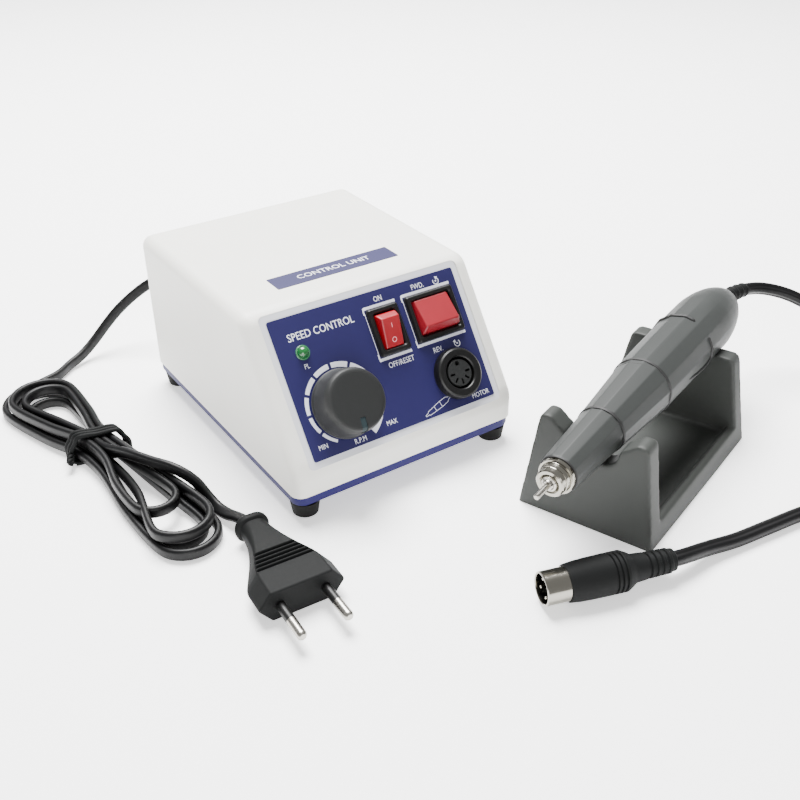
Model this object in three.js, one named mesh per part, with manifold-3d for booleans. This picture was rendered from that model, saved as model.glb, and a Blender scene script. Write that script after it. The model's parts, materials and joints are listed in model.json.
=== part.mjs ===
// Dental electric micromotor set: a sloped speed-control box, a motor handpiece on its cradle,
// a mains lead tied in a hank with its two-pin plug, and a motor cord with its round plug.
// Millimetres, +Z up. While it is built, X = 0 is the control box's centre, Y = 0 its front lip,
// and Z = 0 the table. At the end the group is moved so that the origin is the bottom centre of
// everything except the two loose cords.
import * as THREE from "three";
import { mergeVertices } from "three/addons/utils/BufferGeometryUtils.js";
import Module from "manifold-3d";

const wasm = await Module();
wasm.setup();

// ---------------------------------------------------------------- driving dimensions
const GAP = 0.3; // clearance between pieces that touch
const WALL = 2.5; // moulded wall of the control box

const BOX = { width: 113, depth: 142.2, top: 78.5, bottom: 12, lipTop: 24, slopeBack: 38.5, corner: 6.3, edge: 4 };
const BASE = { bottom: 7, inset: 0.5, rim: 3, floor: 2.5 };
const FOOT = { height: 7, top: 6.5, tip: 5.3, insetX: 7.4, insetFront: 7, insetBack: 8.5 };

// Places on the sloped panel: x to the right of its centre line, y down the slope from its top edge.
const LABEL = { left: -46.1, right: 46.3, top: 4.4, bottom: 64, thick: 0.45, frame: 3, recess: 0.8 };
const KNOB = { x: -25.6, y: 45.3, foot: 14.8, face: 12.6, height: 14, lift: 0.8, pointer: 184 };
const SOCKET = { x: 30.8, y: 49.7, flange: 11, mouth: 7.1, insert: 6, height: 4 };
const LED = { x: -35.1, y: 20.2, radius: 2.5 };
const SWITCH = { length: 21, flange: 2, opening: 15.9, pivot: -1, tilt: 12, depth: 16 };
const POWER = { x: 5.75, y: 22.2, flangeWidth: 15.4, openingWidth: 10.6 };
const DIRECTION = { x: 30, y: 21.8, flangeWidth: 24.7, openingWidth: 20.1 };

const CRADLE = { x: 39.8, y: -65.9, turn: 20.8, length: 98.3, halfBase: 29.5, halfTop: 22.6, height: 47.5 };
CRADLE.rearHeight = 43;
CRADLE.rearHalfBase = 31.7;
CRADLE.plate = 8;
CRADLE.wall = 9.5;
CRADLE.floor = 5;
const NOTCH = { halfTop: 19, rearHalfTop: 16.9, frontBottom: 32.7, rearBottom: 31.3, halfBottom: 11.4 };

// The handpiece lies in the cradle's notches: the middle of its front rim, and the way it points.
const HANDPIECE = { x: 13.45, y: -75.34, z: 42.35, turn: 19.67, rise: 1.62, flats: 14 };
const SLEEVE = { nose: 8.1, noseEnd: 10.15, noseLength: 34.3, chuckEnd: 13.3, chuckLength: 36.2, seam: 0.6 };
const HOUSING = { start: 71.7, radius: 14.1, round: 112.8, end: 162, bore: 11.3 };

const MAINS = { diameter: 4.9, exitX: -27, exitZ: 41, sides: 8 };
const MOTOR = { diameter: 6, sides: 8 };
const HANK = { low: 1.4, high: 15, pinch: 11 };
const COIL = { x: 227, y: -101, inner: 24.3, outer: 42.3, low: 0.2, high: 12.6 };
const PLUG = { x: -76, y: 3.2, turn: -93.4, height: 6.9, pinSpacing: 18.6, pinLength: 19, length: 47 };
const DIN = { x: -5.9, y: -91.5, turn: -17.1, axis: 8.1, shell: 6.6, length: 54 };

// ---------------------------------------------------------------- materials
const material = (color, roughness, metalness = 0) =>
  new THREE.MeshStandardMaterial({ color, roughness, metalness });
const paint = {
  whiteCase: material(0xe9e9e4, 0.55),
  blueBase: material(0x3d3b5e, 0.5),
  blueLabel: material(0x3c3c6a, 0.45),
  labelFrame: material(0xc4c6cc, 0.5),
  black: material(0x2a2c2b, 0.5),
  knobGrey: material(0x454746, 0.6),
  pointerGrey: material(0x37474a, 0.4),
  red: material(0xbb3344, 0.35),
  rubber: material(0x262625, 0.85),
  greenLens: material(0x1f6b45, 0.2),
  greyPlastic: material(0x636563, 0.55),
  handGrey: material(0x6e7070, 0.5),
  chrome: material(0xd8d8d4, 0.15, 1),
  steel: material(0xa9abad, 0.35, 1),
  brass: material(0xb99a55, 0.35, 1),
  copper: material(0xa8653a, 0.4, 1),
  board: material(0x2f6b3f, 0.6),
  magnet: material(0x3a3b3d, 0.6),
  cord: material(0x333534, 0.6),
};

// ---------------------------------------------------------------- solids
// A closed geometry as a solid whose faces point out.
function solid(geometry) {
  const bare = geometry.clone();
  bare.deleteAttribute("normal");
  bare.deleteAttribute("uv");
  const merged = mergeVertices(bare, 1e-4);
  const corners = [];
  const index = merged.index.array;
  for (let i = 0; i < index.length; i += 3) {
    const [a, b, c] = [index[i], index[i + 1], index[i + 2]];
    if (a !== b && b !== c && a !== c) corners.push(a, b, c);
  }
  const build = (triangles) =>
    new wasm.Manifold(
      new wasm.Mesh({
        numProp: 3,
        vertProperties: new Float32Array(merged.attributes.position.array),
        triVerts: new Uint32Array(triangles),
      }),
    );
  const made = build(corners);
  return made.volume() > 0 ? made : build(corners.reverse());
}

// A solid's faces as a geometry that three.js can draw.
function surface(body) {
  const mesh = body.getMesh();
  const vertices = new Float32Array(mesh.numVert * 3);
  for (let i = 0; i < mesh.numVert; i++) {
    vertices.set(mesh.vertProperties.subarray(i * mesh.numProp, i * mesh.numProp + 3), i * 3);
  }
  const geometry = new THREE.BufferGeometry();
  geometry.setAttribute("position", new THREE.BufferAttribute(vertices, 3));
  geometry.setIndex(new THREE.BufferAttribute(new Uint32Array(mesh.triVerts), 1));
  geometry.computeVertexNormals();
  return geometry;
}

const union = (...bodies) => bodies.reduce((sum, body) => sum.add(body));
const cut = (body, ...tools) => tools.reduce((rest, tool) => rest.subtract(tool), body);

// A polygon whose corners are rounded: points are [x, y, radius].
function roundedOutline(points, Path = THREE.Shape) {
  const path = new Path();
  points.forEach(([x, y, radius = 0], i) => {
    const before = points[(i + points.length - 1) % points.length];
    const after = points[(i + 1) % points.length];
    const corner = new THREE.Vector2(x, y);
    const back = new THREE.Vector2(before[0] - x, before[1] - y).normalize();
    const ahead = new THREE.Vector2(after[0] - x, after[1] - y).normalize();
    const half = Math.abs(back.angle() - ahead.angle()) / 2;
    const room = 0.48 * Math.min(Math.hypot(before[0] - x, before[1] - y), Math.hypot(after[0] - x, after[1] - y));
    const reach = Math.min(radius / Math.abs(Math.tan(half)), room);
    const from = corner.clone().addScaledVector(back, reach);
    const to = corner.clone().addScaledVector(ahead, reach);
    if (i === 0) path.moveTo(from.x, from.y);
    else path.lineTo(from.x, from.y);
    if (radius > 0) path.quadraticCurveTo(x, y, to.x, to.y);
  });
  path.closePath();
  return path;
}

const rectangle = (width, height, radius = 0, x = 0, y = 0, Path = THREE.Shape) =>
  roundedOutline(
    [
      [x - width / 2, y - height / 2, radius],
      [x + width / 2, y - height / 2, radius],
      [x + width / 2, y + height / 2, radius],
      [x - width / 2, y + height / 2, radius],
    ],
    Path,
  );

// An outline pushed up from z = low to z = high.
function extruded(outline, low, high, curveSegments = 4) {
  const options = { depth: high - low, bevelEnabled: false, curveSegments };
  return new THREE.ExtrudeGeometry(outline, options).translate(0, 0, low);
}

const block = (x0, x1, y0, y1, z0, z1) =>
  new THREE.BoxGeometry(x1 - x0, y1 - y0, z1 - z0).translate((x0 + x1) / 2, (y0 + y1) / 2, (z0 + z1) / 2);

const rod = (radius, z0, z1, x = 0, y = 0, sides = 24) =>
  new THREE.CylinderGeometry(radius, radius, z1 - z0, sides).rotateX(Math.PI / 2).translate(x, y, (z0 + z1) / 2);

// A profile of [radius, z] points turned about Z. A ring's profile closes on itself.
function turned(profile, sides = 28, ring = false) {
  const points = profile.map(([r, z]) => new THREE.Vector2(r, z));
  if (ring) points.push(points[0].clone());
  return new THREE.LatheGeometry(points, sides).rotateX(Math.PI / 2);
}

// A round-sectioned tube along a smooth curve through the points.
function cordTube(points, diameter, sides, steps) {
  const path = new THREE.CatmullRomCurve3(points.map((p) => new THREE.Vector3(...p)), false, "centripetal");
  const section = new THREE.Shape();
  for (let i = 0; i < sides; i++) {
    const angle = (2 * Math.PI * i) / sides;
    const [x, y] = [(diameter / 2) * Math.cos(angle), (diameter / 2) * Math.sin(angle)];
    if (i === 0) section.moveTo(x, y);
    else section.lineTo(x, y);
  }
  return new THREE.ExtrudeGeometry(section, { steps, extrudePath: path, curveSegments: 1 });
}

const part = new THREE.Group();

function add(name, body, colour, parent = part) {
  const made = body.isBufferGeometry ? solid(body) : body;
  const mesh = new THREE.Mesh(surface(made), colour);
  mesh.name = name;
  parent.add(mesh);
  return mesh;
}

// A point of a turned frame, as [x, y, z] in the whole set's frame.
function placed(group, x, y, z) {
  group.updateWorldMatrix(true, false);
  return group.localToWorld(new THREE.Vector3(x, y, z)).toArray();
}

function frame(x, y, z, parent = part) {
  const group = new THREE.Group();
  group.position.set(x, y, z);
  parent.add(group);
  return group;
}

const radians = THREE.MathUtils.degToRad;

// ---------------------------------------------------------------- control box case
// Side outline of the case in Y and Z, moved in by a wall's thickness.
function sideOutline(inset, bottom) {
  const rise = BOX.top - BOX.lipTop;
  const slope = Math.hypot(BOX.slopeBack, rise);
  const shift = (inset * slope) / BOX.slopeBack;
  const slopeZ = (y) => BOX.lipTop + (y * rise) / BOX.slopeBack - shift;
  const slopeY = (z) => ((z - BOX.lipTop + shift) * BOX.slopeBack) / rise;
  const back = BOX.depth - inset;
  const top = BOX.top - inset;
  const round = Math.max(BOX.edge + 1 - inset, 1);
  return [
    [inset, bottom, 0],
    [inset, slopeZ(inset), round],
    [slopeY(top), top, round],
    [back, top, round],
    [back, bottom, 0],
  ];
}

// Turns a shape drawn in (Y, Z) and pushed along +Z into one that runs along X.
const sideways = new THREE.Matrix4().makeBasis(
  new THREE.Vector3(0, 1, 0),
  new THREE.Vector3(0, 0, 1),
  new THREE.Vector3(1, 0, 0),
);

function caseBody(inset, bottom) {
  const bevel = Math.max(BOX.edge - inset, 0.5);
  const width = BOX.width - 2 * inset;
  const side = new THREE.ExtrudeGeometry(roundedOutline(sideOutline(inset, bottom - 10)), {
    depth: width - 2 * bevel,
    bevelThickness: bevel,
    bevelSize: bevel,
    bevelOffset: -bevel,
    bevelSegments: 3,
    curveSegments: 4,
  });
  side.translate(0, 0, bevel - width / 2).applyMatrix4(sideways);
  const plan = rectangle(width, BOX.depth - 2 * inset, Math.max(BOX.corner - inset, 1), 0, BOX.depth / 2);
  return solid(side).intersect(solid(extruded(plan, bottom, BOX.top + 5)));
}

// The sloped panel's own frame: X to the right, Y up the slope, Z out of the panel.
const slopeAngle = Math.atan2(BOX.top - BOX.lipTop, BOX.slopeBack);
const panelMatrix = new THREE.Matrix4()
  .makeRotationX(slopeAngle)
  .setPosition(0, BOX.slopeBack, BOX.top);
const onPanel = (geometry) => solid(geometry.applyMatrix4(panelMatrix));
const panel = new THREE.Group();
panel.applyMatrix4(panelMatrix);
part.add(panel);

const SWITCHES = [POWER, DIRECTION];
const switchBodyWidth = (rocker) => rocker.openingWidth + 1.3;
const switchBodyLength = SWITCH.opening + 1.9;

// Cut-outs for what passes through the panel, from z = low to z = high, grown by a clearance.
function panelCuts(low, high, grow = GAP) {
  return [
    ...SWITCHES.map((s) => {
      const size = [switchBodyWidth(s) + 2 * grow, switchBodyLength + 2 * grow];
      return extruded(rectangle(...size, 0.5, s.x, -s.y), low, high, 2);
    }),
    rod(4.4 + grow, low, high, KNOB.x, -KNOB.y),
    rod(8.2 + grow, low, high, SOCKET.x, -SOCKET.y, 32),
    rod(LED.radius + grow, low, high, LED.x, -LED.y, 16),
  ];
}

const labelWidth = LABEL.right - LABEL.left;
const labelHeight = LABEL.bottom - LABEL.top;
const labelX = (LABEL.right + LABEL.left) / 2;
const labelY = -(LABEL.bottom + LABEL.top) / 2;
const labelSheet = (grow, radius) =>
  rectangle(labelWidth + 2 * grow, labelHeight + 1.4 * grow, radius, labelX, labelY);

const screwPlaces = [-1, 1].flatMap((side) => [
  [side * (BOX.width / 2 - FOOT.insetX), FOOT.insetFront, side < 0 ? "front_left" : "front_right"],
  [side * (BOX.width / 2 - FOOT.insetX), BOX.depth - FOOT.insetBack, side < 0 ? "back_left" : "back_right"],
]);

// The label let into the flat top of the case, just below the face.
const TOP_LABEL = { width: 60.5, depth: 11.2, x: -0.6, y: 58.4, pocket: 0.5, clear: 0.05, corner: 0.3 };

function topLabelSheet(grow) {
  const { width, depth, corner, x, y } = TOP_LABEL;
  return rectangle(width + 2 * grow, depth + 2 * grow, corner, x, y);
}

function cover() {
  const hollow = cut(caseBody(0, BOX.bottom), caseBody(WALL, BOX.bottom - 1));
  const bosses = screwPlaces.map(([x, y]) => solid(rod(5.6, BOX.bottom, BOX.bottom + 14, x, y, 16)));
  const shell = union(hollow, ...bosses).intersect(caseBody(0, BOX.bottom));
  const screwHoles = screwPlaces.map(([x, y]) => solid(rod(1.9, BOX.bottom - 1, BOX.bottom + 11, x, y, 12)));
  const recess = onPanel(extruded(labelSheet(LABEL.frame, 2.5), -LABEL.recess, 6));
  const holes = panelCuts(-8, 3).map(onPanel);
  const gland = solid(
    rod(4.6, -6, 6, 0, 0, 20).rotateX(Math.PI / 2).translate(MAINS.exitX, BOX.depth, MAINS.exitZ),
  );
  const topPocket = solid(extruded(topLabelSheet(0), BOX.top - TOP_LABEL.pocket, BOX.top + 1));
  return cut(shell, recess, ...holes, gland, topPocket, ...screwHoles);
}
add("cover", cover(), paint.whiteCase);

function labelPlate() {
  const sheet = onPanel(extruded(labelSheet(-GAP / 2, 1), -LABEL.thick, 0));
  return cut(sheet, ...panelCuts(-3, 3).map(onPanel));
}
add("front_label", labelPlate(), paint.blueLabel);

function labelFrame() {
  const outer = extruded(labelSheet(LABEL.frame - GAP, 2.3), -LABEL.thick, -0.05);
  const inner = extruded(labelSheet(GAP / 2, 1.2), -3, 3);
  return cut(onPanel(outer), onPanel(inner));
}
add("label_frame", labelFrame(), paint.labelFrame);

function topLabel() {
  const { pocket, clear } = TOP_LABEL;
  return extruded(topLabelSheet(-clear), BOX.top - pocket + clear, BOX.top - clear);
}
add("top_label", topLabel(), paint.blueLabel);

function basePlate() {
  const width = BOX.width - 2 * BASE.inset;
  const depth = BOX.depth - 2 * BASE.inset;
  const plan = (grow, radius) => rectangle(width + 2 * grow, depth + 2 * grow, radius, 0, BOX.depth / 2);
  const tray = solid(extruded(plan(0, BOX.corner), BASE.bottom, BOX.bottom - GAP));
  const pocket = solid(extruded(plan(-BASE.rim, 3), BASE.bottom + BASE.floor, BOX.bottom + 1));
  const pads = screwPlaces.map(([x, y]) => solid(rod(5.2, BASE.bottom, BOX.bottom - GAP, x, y, 16)));
  const posts = boardPosts.map(([x, y]) => solid(rod(2.6, BASE.bottom, BOARD.bottom - GAP, x, y, 12)));
  const holes = screwPlaces.map(([x, y]) => solid(rod(2.1, BASE.bottom - 1, BOX.bottom + 1, x, y, 12)));
  return cut(union(cut(tray, pocket), ...pads, ...posts), ...holes);
}
const BOARD = { x0: -46, x1: 46, y0: 22, y1: 62, bottom: 16, thick: 1.6 };
const boardPosts = [
  [BOARD.x0 + 4, BOARD.y0 + 4],
  [BOARD.x1 - 4, BOARD.y0 + 4],
  [BOARD.x0 + 4, BOARD.y1 - 4],
  [BOARD.x1 - 4, BOARD.y1 - 4],
];
add("base_plate", basePlate(), paint.blueBase);

for (const [x, y, corner] of screwPlaces) {
  const foot = turned(
    [
      [FOOT.tip - 1, 0],
      [FOOT.tip, 0.8],
      [FOOT.top, FOOT.height - GAP],
      [2.1, FOOT.height - GAP],
      [2.1, 3.8],
      [3.4, 3.8],
      [3.4, 0],
    ],
    24,
    true,
  );
  add("foot_" + corner, foot, paint.rubber, frame(x, y, 0));
  const screw = turned([[0, 1.4], [3, 1.4], [3, 3.4], [1.5, 3.4], [1.5, 21.5], [0, 21.5]], 12);
  add("case_screw_" + corner, screw, paint.steel, frame(x, y, 0));
}

// ---------------------------------------------------------------- panel pieces
function switchHousing(rocker) {
  const flange = solid(extruded(rectangle(rocker.flangeWidth, SWITCH.length, 1.2, 0, 0), GAP, SWITCH.flange));
  const bodySize = [switchBodyWidth(rocker), switchBodyLength];
  const body = solid(extruded(rectangle(...bodySize, 0.4), -SWITCH.depth, GAP + 0.1, 2));
  const well = solid(extruded(rectangle(rocker.openingWidth, SWITCH.opening, 0.3), -12, 5, 2));
  return cut(union(flange, body), well);
}

// The rocker's side outline about its pivot: a flat top, ends that clear the well as it tips.
function rockerBody(rocker) {
  const half = rocker.openingWidth / 2 - 0.35;
  const outline = roundedOutline([
    [-7.2, -3, 0.5],
    [7.2, -3, 0.5],
    [7.65, 0, 0],
    [7, 4.8, 0.5],
    [-7, 4.8, 0.5],
    [-7.65, 0, 0],
  ]);
  return extruded(outline, -half, half, 3).applyMatrix4(sideways);
}

function addSwitch(name, rocker, tilt) {
  const place = frame(rocker.x, -rocker.y, 0, panel);
  add(name + "_switch_housing", switchHousing(rocker), paint.black, place);
  const pivot = frame(0, 0, SWITCH.pivot, place);
  pivot.rotation.x = radians(tilt);
  add(name + "_rocker", rockerBody(rocker), paint.red, pivot);
}
addSwitch("power", POWER, SWITCH.tilt);
addSwitch("direction", DIRECTION, -SWITCH.tilt);

const knobPlace = frame(KNOB.x, -KNOB.y, 0, panel);
const knobBody = turned([
  [0, 11.2],
  [3.3, 11.2],
  [3.3, 3.9],
  [8, 3.9],
  [8, KNOB.lift],
  [KNOB.foot - 0.2, KNOB.lift],
  [KNOB.foot, 2],
  [KNOB.face + 1, 11.2],
  [KNOB.face + 0.4, 13],
  [KNOB.face - 0.8, KNOB.height],
  [0, KNOB.height],
], 36);
const knobTurn = frame(0, 0, 0, knobPlace);
knobTurn.rotation.z = radians(-KNOB.pointer);
add("speed_knob", cut(solid(knobBody), solid(block(-1.15, 1.15, 7.6, 18, 12.2, 16))), paint.knobGrey, knobTurn);
add("knob_pointer", block(-0.85, 0.85, 7.9, KNOB.face - 1, 12.5, KNOB.height), paint.pointerGrey, knobTurn);

const potentiometer = [
  [0, -8],
  [3.3, -8],
  [3.3, 2.8],
  [4.4, 2.8],
  [4.4, -2.9],
  [12, -2.9],
  [12, -11],
  [0, -11],
];
add("potentiometer", turned(potentiometer), paint.steel, knobPlace);
add("potentiometer_shaft", rod(2.9, -7.6, 10.9), paint.brass, knobPlace);

const socketPlace = frame(SOCKET.x, -SOCKET.y, 0, panel);
const socketRing = [
  [SOCKET.flange, GAP],
  [SOCKET.flange, 2.2],
  [SOCKET.flange - 0.5, 3.4],
  [SOCKET.flange - 1.6, SOCKET.height],
  [SOCKET.mouth + 0.3, SOCKET.height],
  [SOCKET.mouth, SOCKET.height - 0.4],
  [SOCKET.mouth, -9],
  [8.2, -9],
  [8.2, GAP],
];
add("socket_shell", turned(socketRing, 36, true), paint.black, socketPlace);

const pinCircle = 3.5;
function socketInsert() {
  const profile = [[0, 3.2], [SOCKET.insert, 3.2], [SOCKET.insert, -7], [6.8, -7], [6.8, -9], [0, -9]];
  const slots = [0, 45, 90, 135, 180].map((step) => {
    const slot = block(pinCircle - 1.4, pinCircle + 1.4, -0.55, 0.55, -2, 5);
    return solid(slot.rotateZ(radians(-step)));
  });
  const key = solid(rod(1.2, -2, 5, 0, 4.3, 12));
  return cut(solid(turned(profile, 32)), ...slots, key);
}
add("socket_insert", socketInsert(), paint.knobGrey, socketPlace);

const lens = [[0, -6], [LED.radius, -6], [LED.radius, 0.6], [1.8, 1.7], [0, 2.2]];
add("led_lens", turned(lens, 16), paint.greenLens, frame(LED.x, -LED.y, 0, panel));

// ---------------------------------------------------------------- inside the box
const boardTop = BOARD.bottom + BOARD.thick;
add("circuit_board", block(BOARD.x0, BOARD.x1, BOARD.y0, BOARD.y1, BOARD.bottom, boardTop), paint.board);
function heatSink() {
  const root = block(8, 38, 50, 53, boardTop + GAP, boardTop + 24);
  const fins = [0, 1, 2, 3, 4].map((i) => solid(block(8 + 7 * i, 10 + 7 * i, 45, 50.5, boardTop + GAP, boardTop + 24)));
  return union(solid(root), ...fins);
}
add("heat_sink", heatSink(), paint.steel);

// Transformer: a laminated core of two windows, with the winding round its middle limb.
const coreBottom = BASE.bottom + BASE.floor + GAP;
const transformer = frame(8, 103, coreBottom);
function transformerCore() {
  const stack = solid(block(-28.5, 28.5, -16, 16, 0, 48));
  const windows = [-1, 1].map((side) => {
    const [near, far] = [9.5 * side, 19 * side];
    return solid(block(Math.min(near, far), Math.max(near, far), -20, 20, 9.6, 38.4));
  });
  return cut(stack, ...windows);
}
add("transformer_core", transformerCore(), paint.steel, transformer);
const winding = cut(solid(block(-18.6, 18.6, -25, 25, 10, 38)), solid(block(-9.9, 9.9, -16.4, 16.4, 5, 45)));
add("transformer_winding", winding, paint.copper, transformer);

// ---------------------------------------------------------------- mains lead
const glandPlace = frame(MAINS.exitX, BOX.depth, MAINS.exitZ);
glandPlace.rotation.x = -Math.PI / 2; // its own +Z runs out of the rear wall
const cordHole = MAINS.diameter / 2 + GAP;
const relief = [
  [cordHole, -6],
  [4.2, -6],
  [4.2, GAP],
  [6.5, GAP],
  [6.5, 2.6],
  [4.9, 3.6],
  [3.6, 20.5],
  [cordHole, 20.5],
];
add("mains_strain_relief", turned(relief, 24, true), paint.black, glandPlace);

const MAINS_LEAD = [
  [MAINS.exitX, 136, 41],
  [MAINS.exitX, 150, 41],
  [MAINS.exitX, 158, 41],
  [MAINS.exitX, 163.5, 41],
  [-28.4, 171, 40],
  [-33, 178, 37],
  [-41, 183, 33],
  [-50, 185, 28],
  [-59, 185, 22],
  [-67, 184.5, 15],
  [-75, 182, 8.5],
  [-83, 177.5, 4.2],
  [-91, 171, 2.8],
  [-98.5, 163.5, 2.8],
];
add("mains_cord_lead", cordTube(MAINS_LEAD, MAINS.diameter, MAINS.sides, 30), paint.cord);

// The tied hank seen from above: two fans of loops that meet at the tie.
const HANK_OUTLINE = [
  [-134, 158, 14],
  [-104, 167, 20],
  [-88, 118, 20],
  [-93.5, 88, 6],
  [-84.8, 44, 12],
  [-84.8, 8, 14],
  [-106, 4, 18],
  [-116, 40, 14],
  [-116.5, 84, 6],
  [-136, 130, 16],
];
add("mains_cord_hank", extruded(roundedOutline(HANK_OUTLINE), HANK.low, HANK.high, 3), paint.cord);

const hankTie = frame(-104.8, 86, 0);
hankTie.rotation.z = radians(-10);
function tieBand() {
  const middle = (HANK.low + HANK.high) / 2;
  const outer = rectangle(32.4, HANK.high - HANK.low + 2.6, 3, 0, middle);
  const inner = rectangle(30, HANK.high - HANK.low + 0.8, 0.5, 0, middle);
  const band = cut(solid(extruded(outer, -1.6, 1.6)), solid(extruded(inner, -5, 5)));
  return band.rotate([90, 0, 0]);
}
add("hank_tie", tieBand(), paint.rubber, hankTie);

// Two-pin plug: its own +X runs from the cord towards the pins.
const plug = frame(PLUG.x, PLUG.y, PLUG.height);
plug.rotation.z = radians(PLUG.turn);
const faceX = PLUG.length;
const MAINS_TAIL = [
  [-82, 34, 2.8],
  [-81.2, 28, 2.8],
  [-79.6, 21, 3.3],
  [-77.4, 14, 5],
  placed(plug, -6, 0, 0),
  placed(plug, 3.4, 0, 0),
];
add("mains_cord_tail", cordTube(MAINS_TAIL, MAINS.diameter, MAINS.sides, 10), paint.cord);

function plugBody() {
  const outline = new THREE.Shape();
  outline.moveTo(0, -6);
  outline.bezierCurveTo(16, -7, 19, -8, 26, -14);
  outline.quadraticCurveTo(30, -17.6, 35, -17.6);
  outline.lineTo(faceX - 4, -17.2);
  outline.lineTo(faceX, -13.6);
  outline.lineTo(faceX, 13.6);
  outline.lineTo(faceX - 4, 17.2);
  outline.lineTo(35, 17.6);
  outline.quadraticCurveTo(30, 17.6, 26, 14);
  outline.bezierCurveTo(19, 8, 16, 7, 0, 6);
  outline.closePath();
  const grip = solid(extruded(outline, -6.7, 6.7, 6));
  const collar = solid(rod(7, -1, 2.4, 0, 0, 28).rotateY(Math.PI / 2));
  const trimmed = union(grip, collar).intersect(solid(block(-3, 60, -20, 20, -6.7, 6.9)));
  const sleeves = [-1, 1].map((side) =>
    solid(rod(1.9, faceX - 1, faceX + 10, 0, 0, 16).rotateY(Math.PI / 2).translate(0, (side * PLUG.pinSpacing) / 2, 0)),
  );
  const bores = [-1, 1].map((side) =>
    solid(rod(1.5, faceX - 8, faceX + 12, 0, 0, 12).rotateY(Math.PI / 2).translate(0, (side * PLUG.pinSpacing) / 2, 0)),
  );
  const cordBore = solid(rod(cordHole, -6, 4, 0, 0, 12).rotateY(Math.PI / 2));
  return cut(union(trimmed, ...sleeves), ...bores, cordBore);
}
add("plug_body", plugBody(), paint.black, plug);
const plugPin = [[0, -7], [1.15, -7], [1.15, 10.4], [2, 10.4], [2, 18], [1, PLUG.pinLength], [0, PLUG.pinLength]];
for (const [side, name] of [[1, "left"], [-1, "right"]]) {
  const place = frame(faceX, (side * PLUG.pinSpacing) / 2, 0, plug);
  place.rotation.y = Math.PI / 2;
  add("plug_pin_" + name, turned(plugPin, 16), paint.chrome, place);
}

// ---------------------------------------------------------------- cradle
// Its own X runs from the front plate to the rear plate, Y across to the left.
const cradle = frame(CRADLE.x, CRADLE.y, 0);
cradle.rotation.z = radians(CRADLE.turn);
// Turns a shape drawn in (Y, Z) and pushed along +Z into one that runs along X, as seen from the front.
const halfWidthAt = (z) => CRADLE.halfBase - (z * (CRADLE.halfBase - CRADLE.halfTop)) / CRADLE.height;

function endPlate(height, notchHalfTop, notchBottom) {
  const side = [
    [CRADLE.halfBase, 0, 1.5],
    [halfWidthAt(height), height, 2.5],
    [notchHalfTop, height, 1.5],
    [NOTCH.halfBottom, notchBottom, 8],
  ];
  const mirrored = side.map(([y, z, r]) => [-y, z, r]).reverse();
  return extruded(roundedOutline([...side, ...mirrored]), 0, CRADLE.plate, 5).applyMatrix4(sideways);
}

function tray() {
  const outer = [
    [halfWidthAt(0), 0, 1],
    [halfWidthAt(CRADLE.wall), CRADLE.wall, 1],
    [halfWidthAt(CRADLE.wall) - 3, CRADLE.wall, 1],
    [halfWidthAt(CRADLE.wall) - 5.5, CRADLE.floor, 3],
  ];
  const mirrored = outer.map(([y, z, r]) => [-y, z, r]).reverse();
  return extruded(roundedOutline([...outer, ...mirrored]), 1, CRADLE.length - 1, 3).applyMatrix4(sideways);
}
const frontPlate = solid(endPlate(CRADLE.height, NOTCH.halfTop, NOTCH.frontBottom));
const rearPlate = solid(endPlate(CRADLE.rearHeight, NOTCH.rearHalfTop, NOTCH.rearBottom));
const cradleBody = union(frontPlate, solid(tray()), rearPlate.translate([CRADLE.length - CRADLE.plate, 0, 0]));
// The foot of the cradle gets wider towards its rear end.
const spread = (CRADLE.rearHalfBase / CRADLE.halfBase - 1) / CRADLE.length;
const flared = cradleBody.warp((point) => {
  point[1] *= 1 + spread * point[0] * Math.max(0, 1 - point[2] / CRADLE.rearHeight);
});
add("cradle", flared, paint.greyPlastic, cradle);

// ---------------------------------------------------------------- handpiece
// Its own Z runs back along its axis from the front rim of the nose sleeve, Y is up.
const turn = radians(HANDPIECE.turn);
const rise = radians(HANDPIECE.rise);
const axis = new THREE.Vector3(Math.cos(turn) * Math.cos(rise), Math.sin(turn) * Math.cos(rise), Math.sin(rise));
const across = new THREE.Vector3(-Math.sin(turn), Math.cos(turn), 0);
const upward = new THREE.Vector3().crossVectors(axis, across);
const handpiece = new THREE.Group();
handpiece.applyMatrix4(
  new THREE.Matrix4().makeBasis(across, upward, axis).setPosition(HANDPIECE.x, HANDPIECE.y, HANDPIECE.z),
);
part.add(handpiece);

const noseSleeve = [
  [6.7, 0],
  [SLEEVE.nose - 0.6, 0],
  [SLEEVE.nose, 0.7],
  [SLEEVE.noseEnd, SLEEVE.noseLength],
  [6.7, SLEEVE.noseLength],
];
add("nose_sleeve", turned(noseSleeve, 28, true), paint.handGrey, handpiece);

const chuckStart = SLEEVE.noseLength + SLEEVE.seam;
const chuckSleeve = [
  [7.9, chuckStart],
  [SLEEVE.noseEnd, chuckStart],
  [SLEEVE.chuckEnd, chuckStart + SLEEVE.chuckLength],
  [7.9, chuckStart + SLEEVE.chuckLength],
];
add("chuck_sleeve", turned(chuckSleeve, HANDPIECE.flats, true), paint.handGrey, handpiece);

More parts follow.
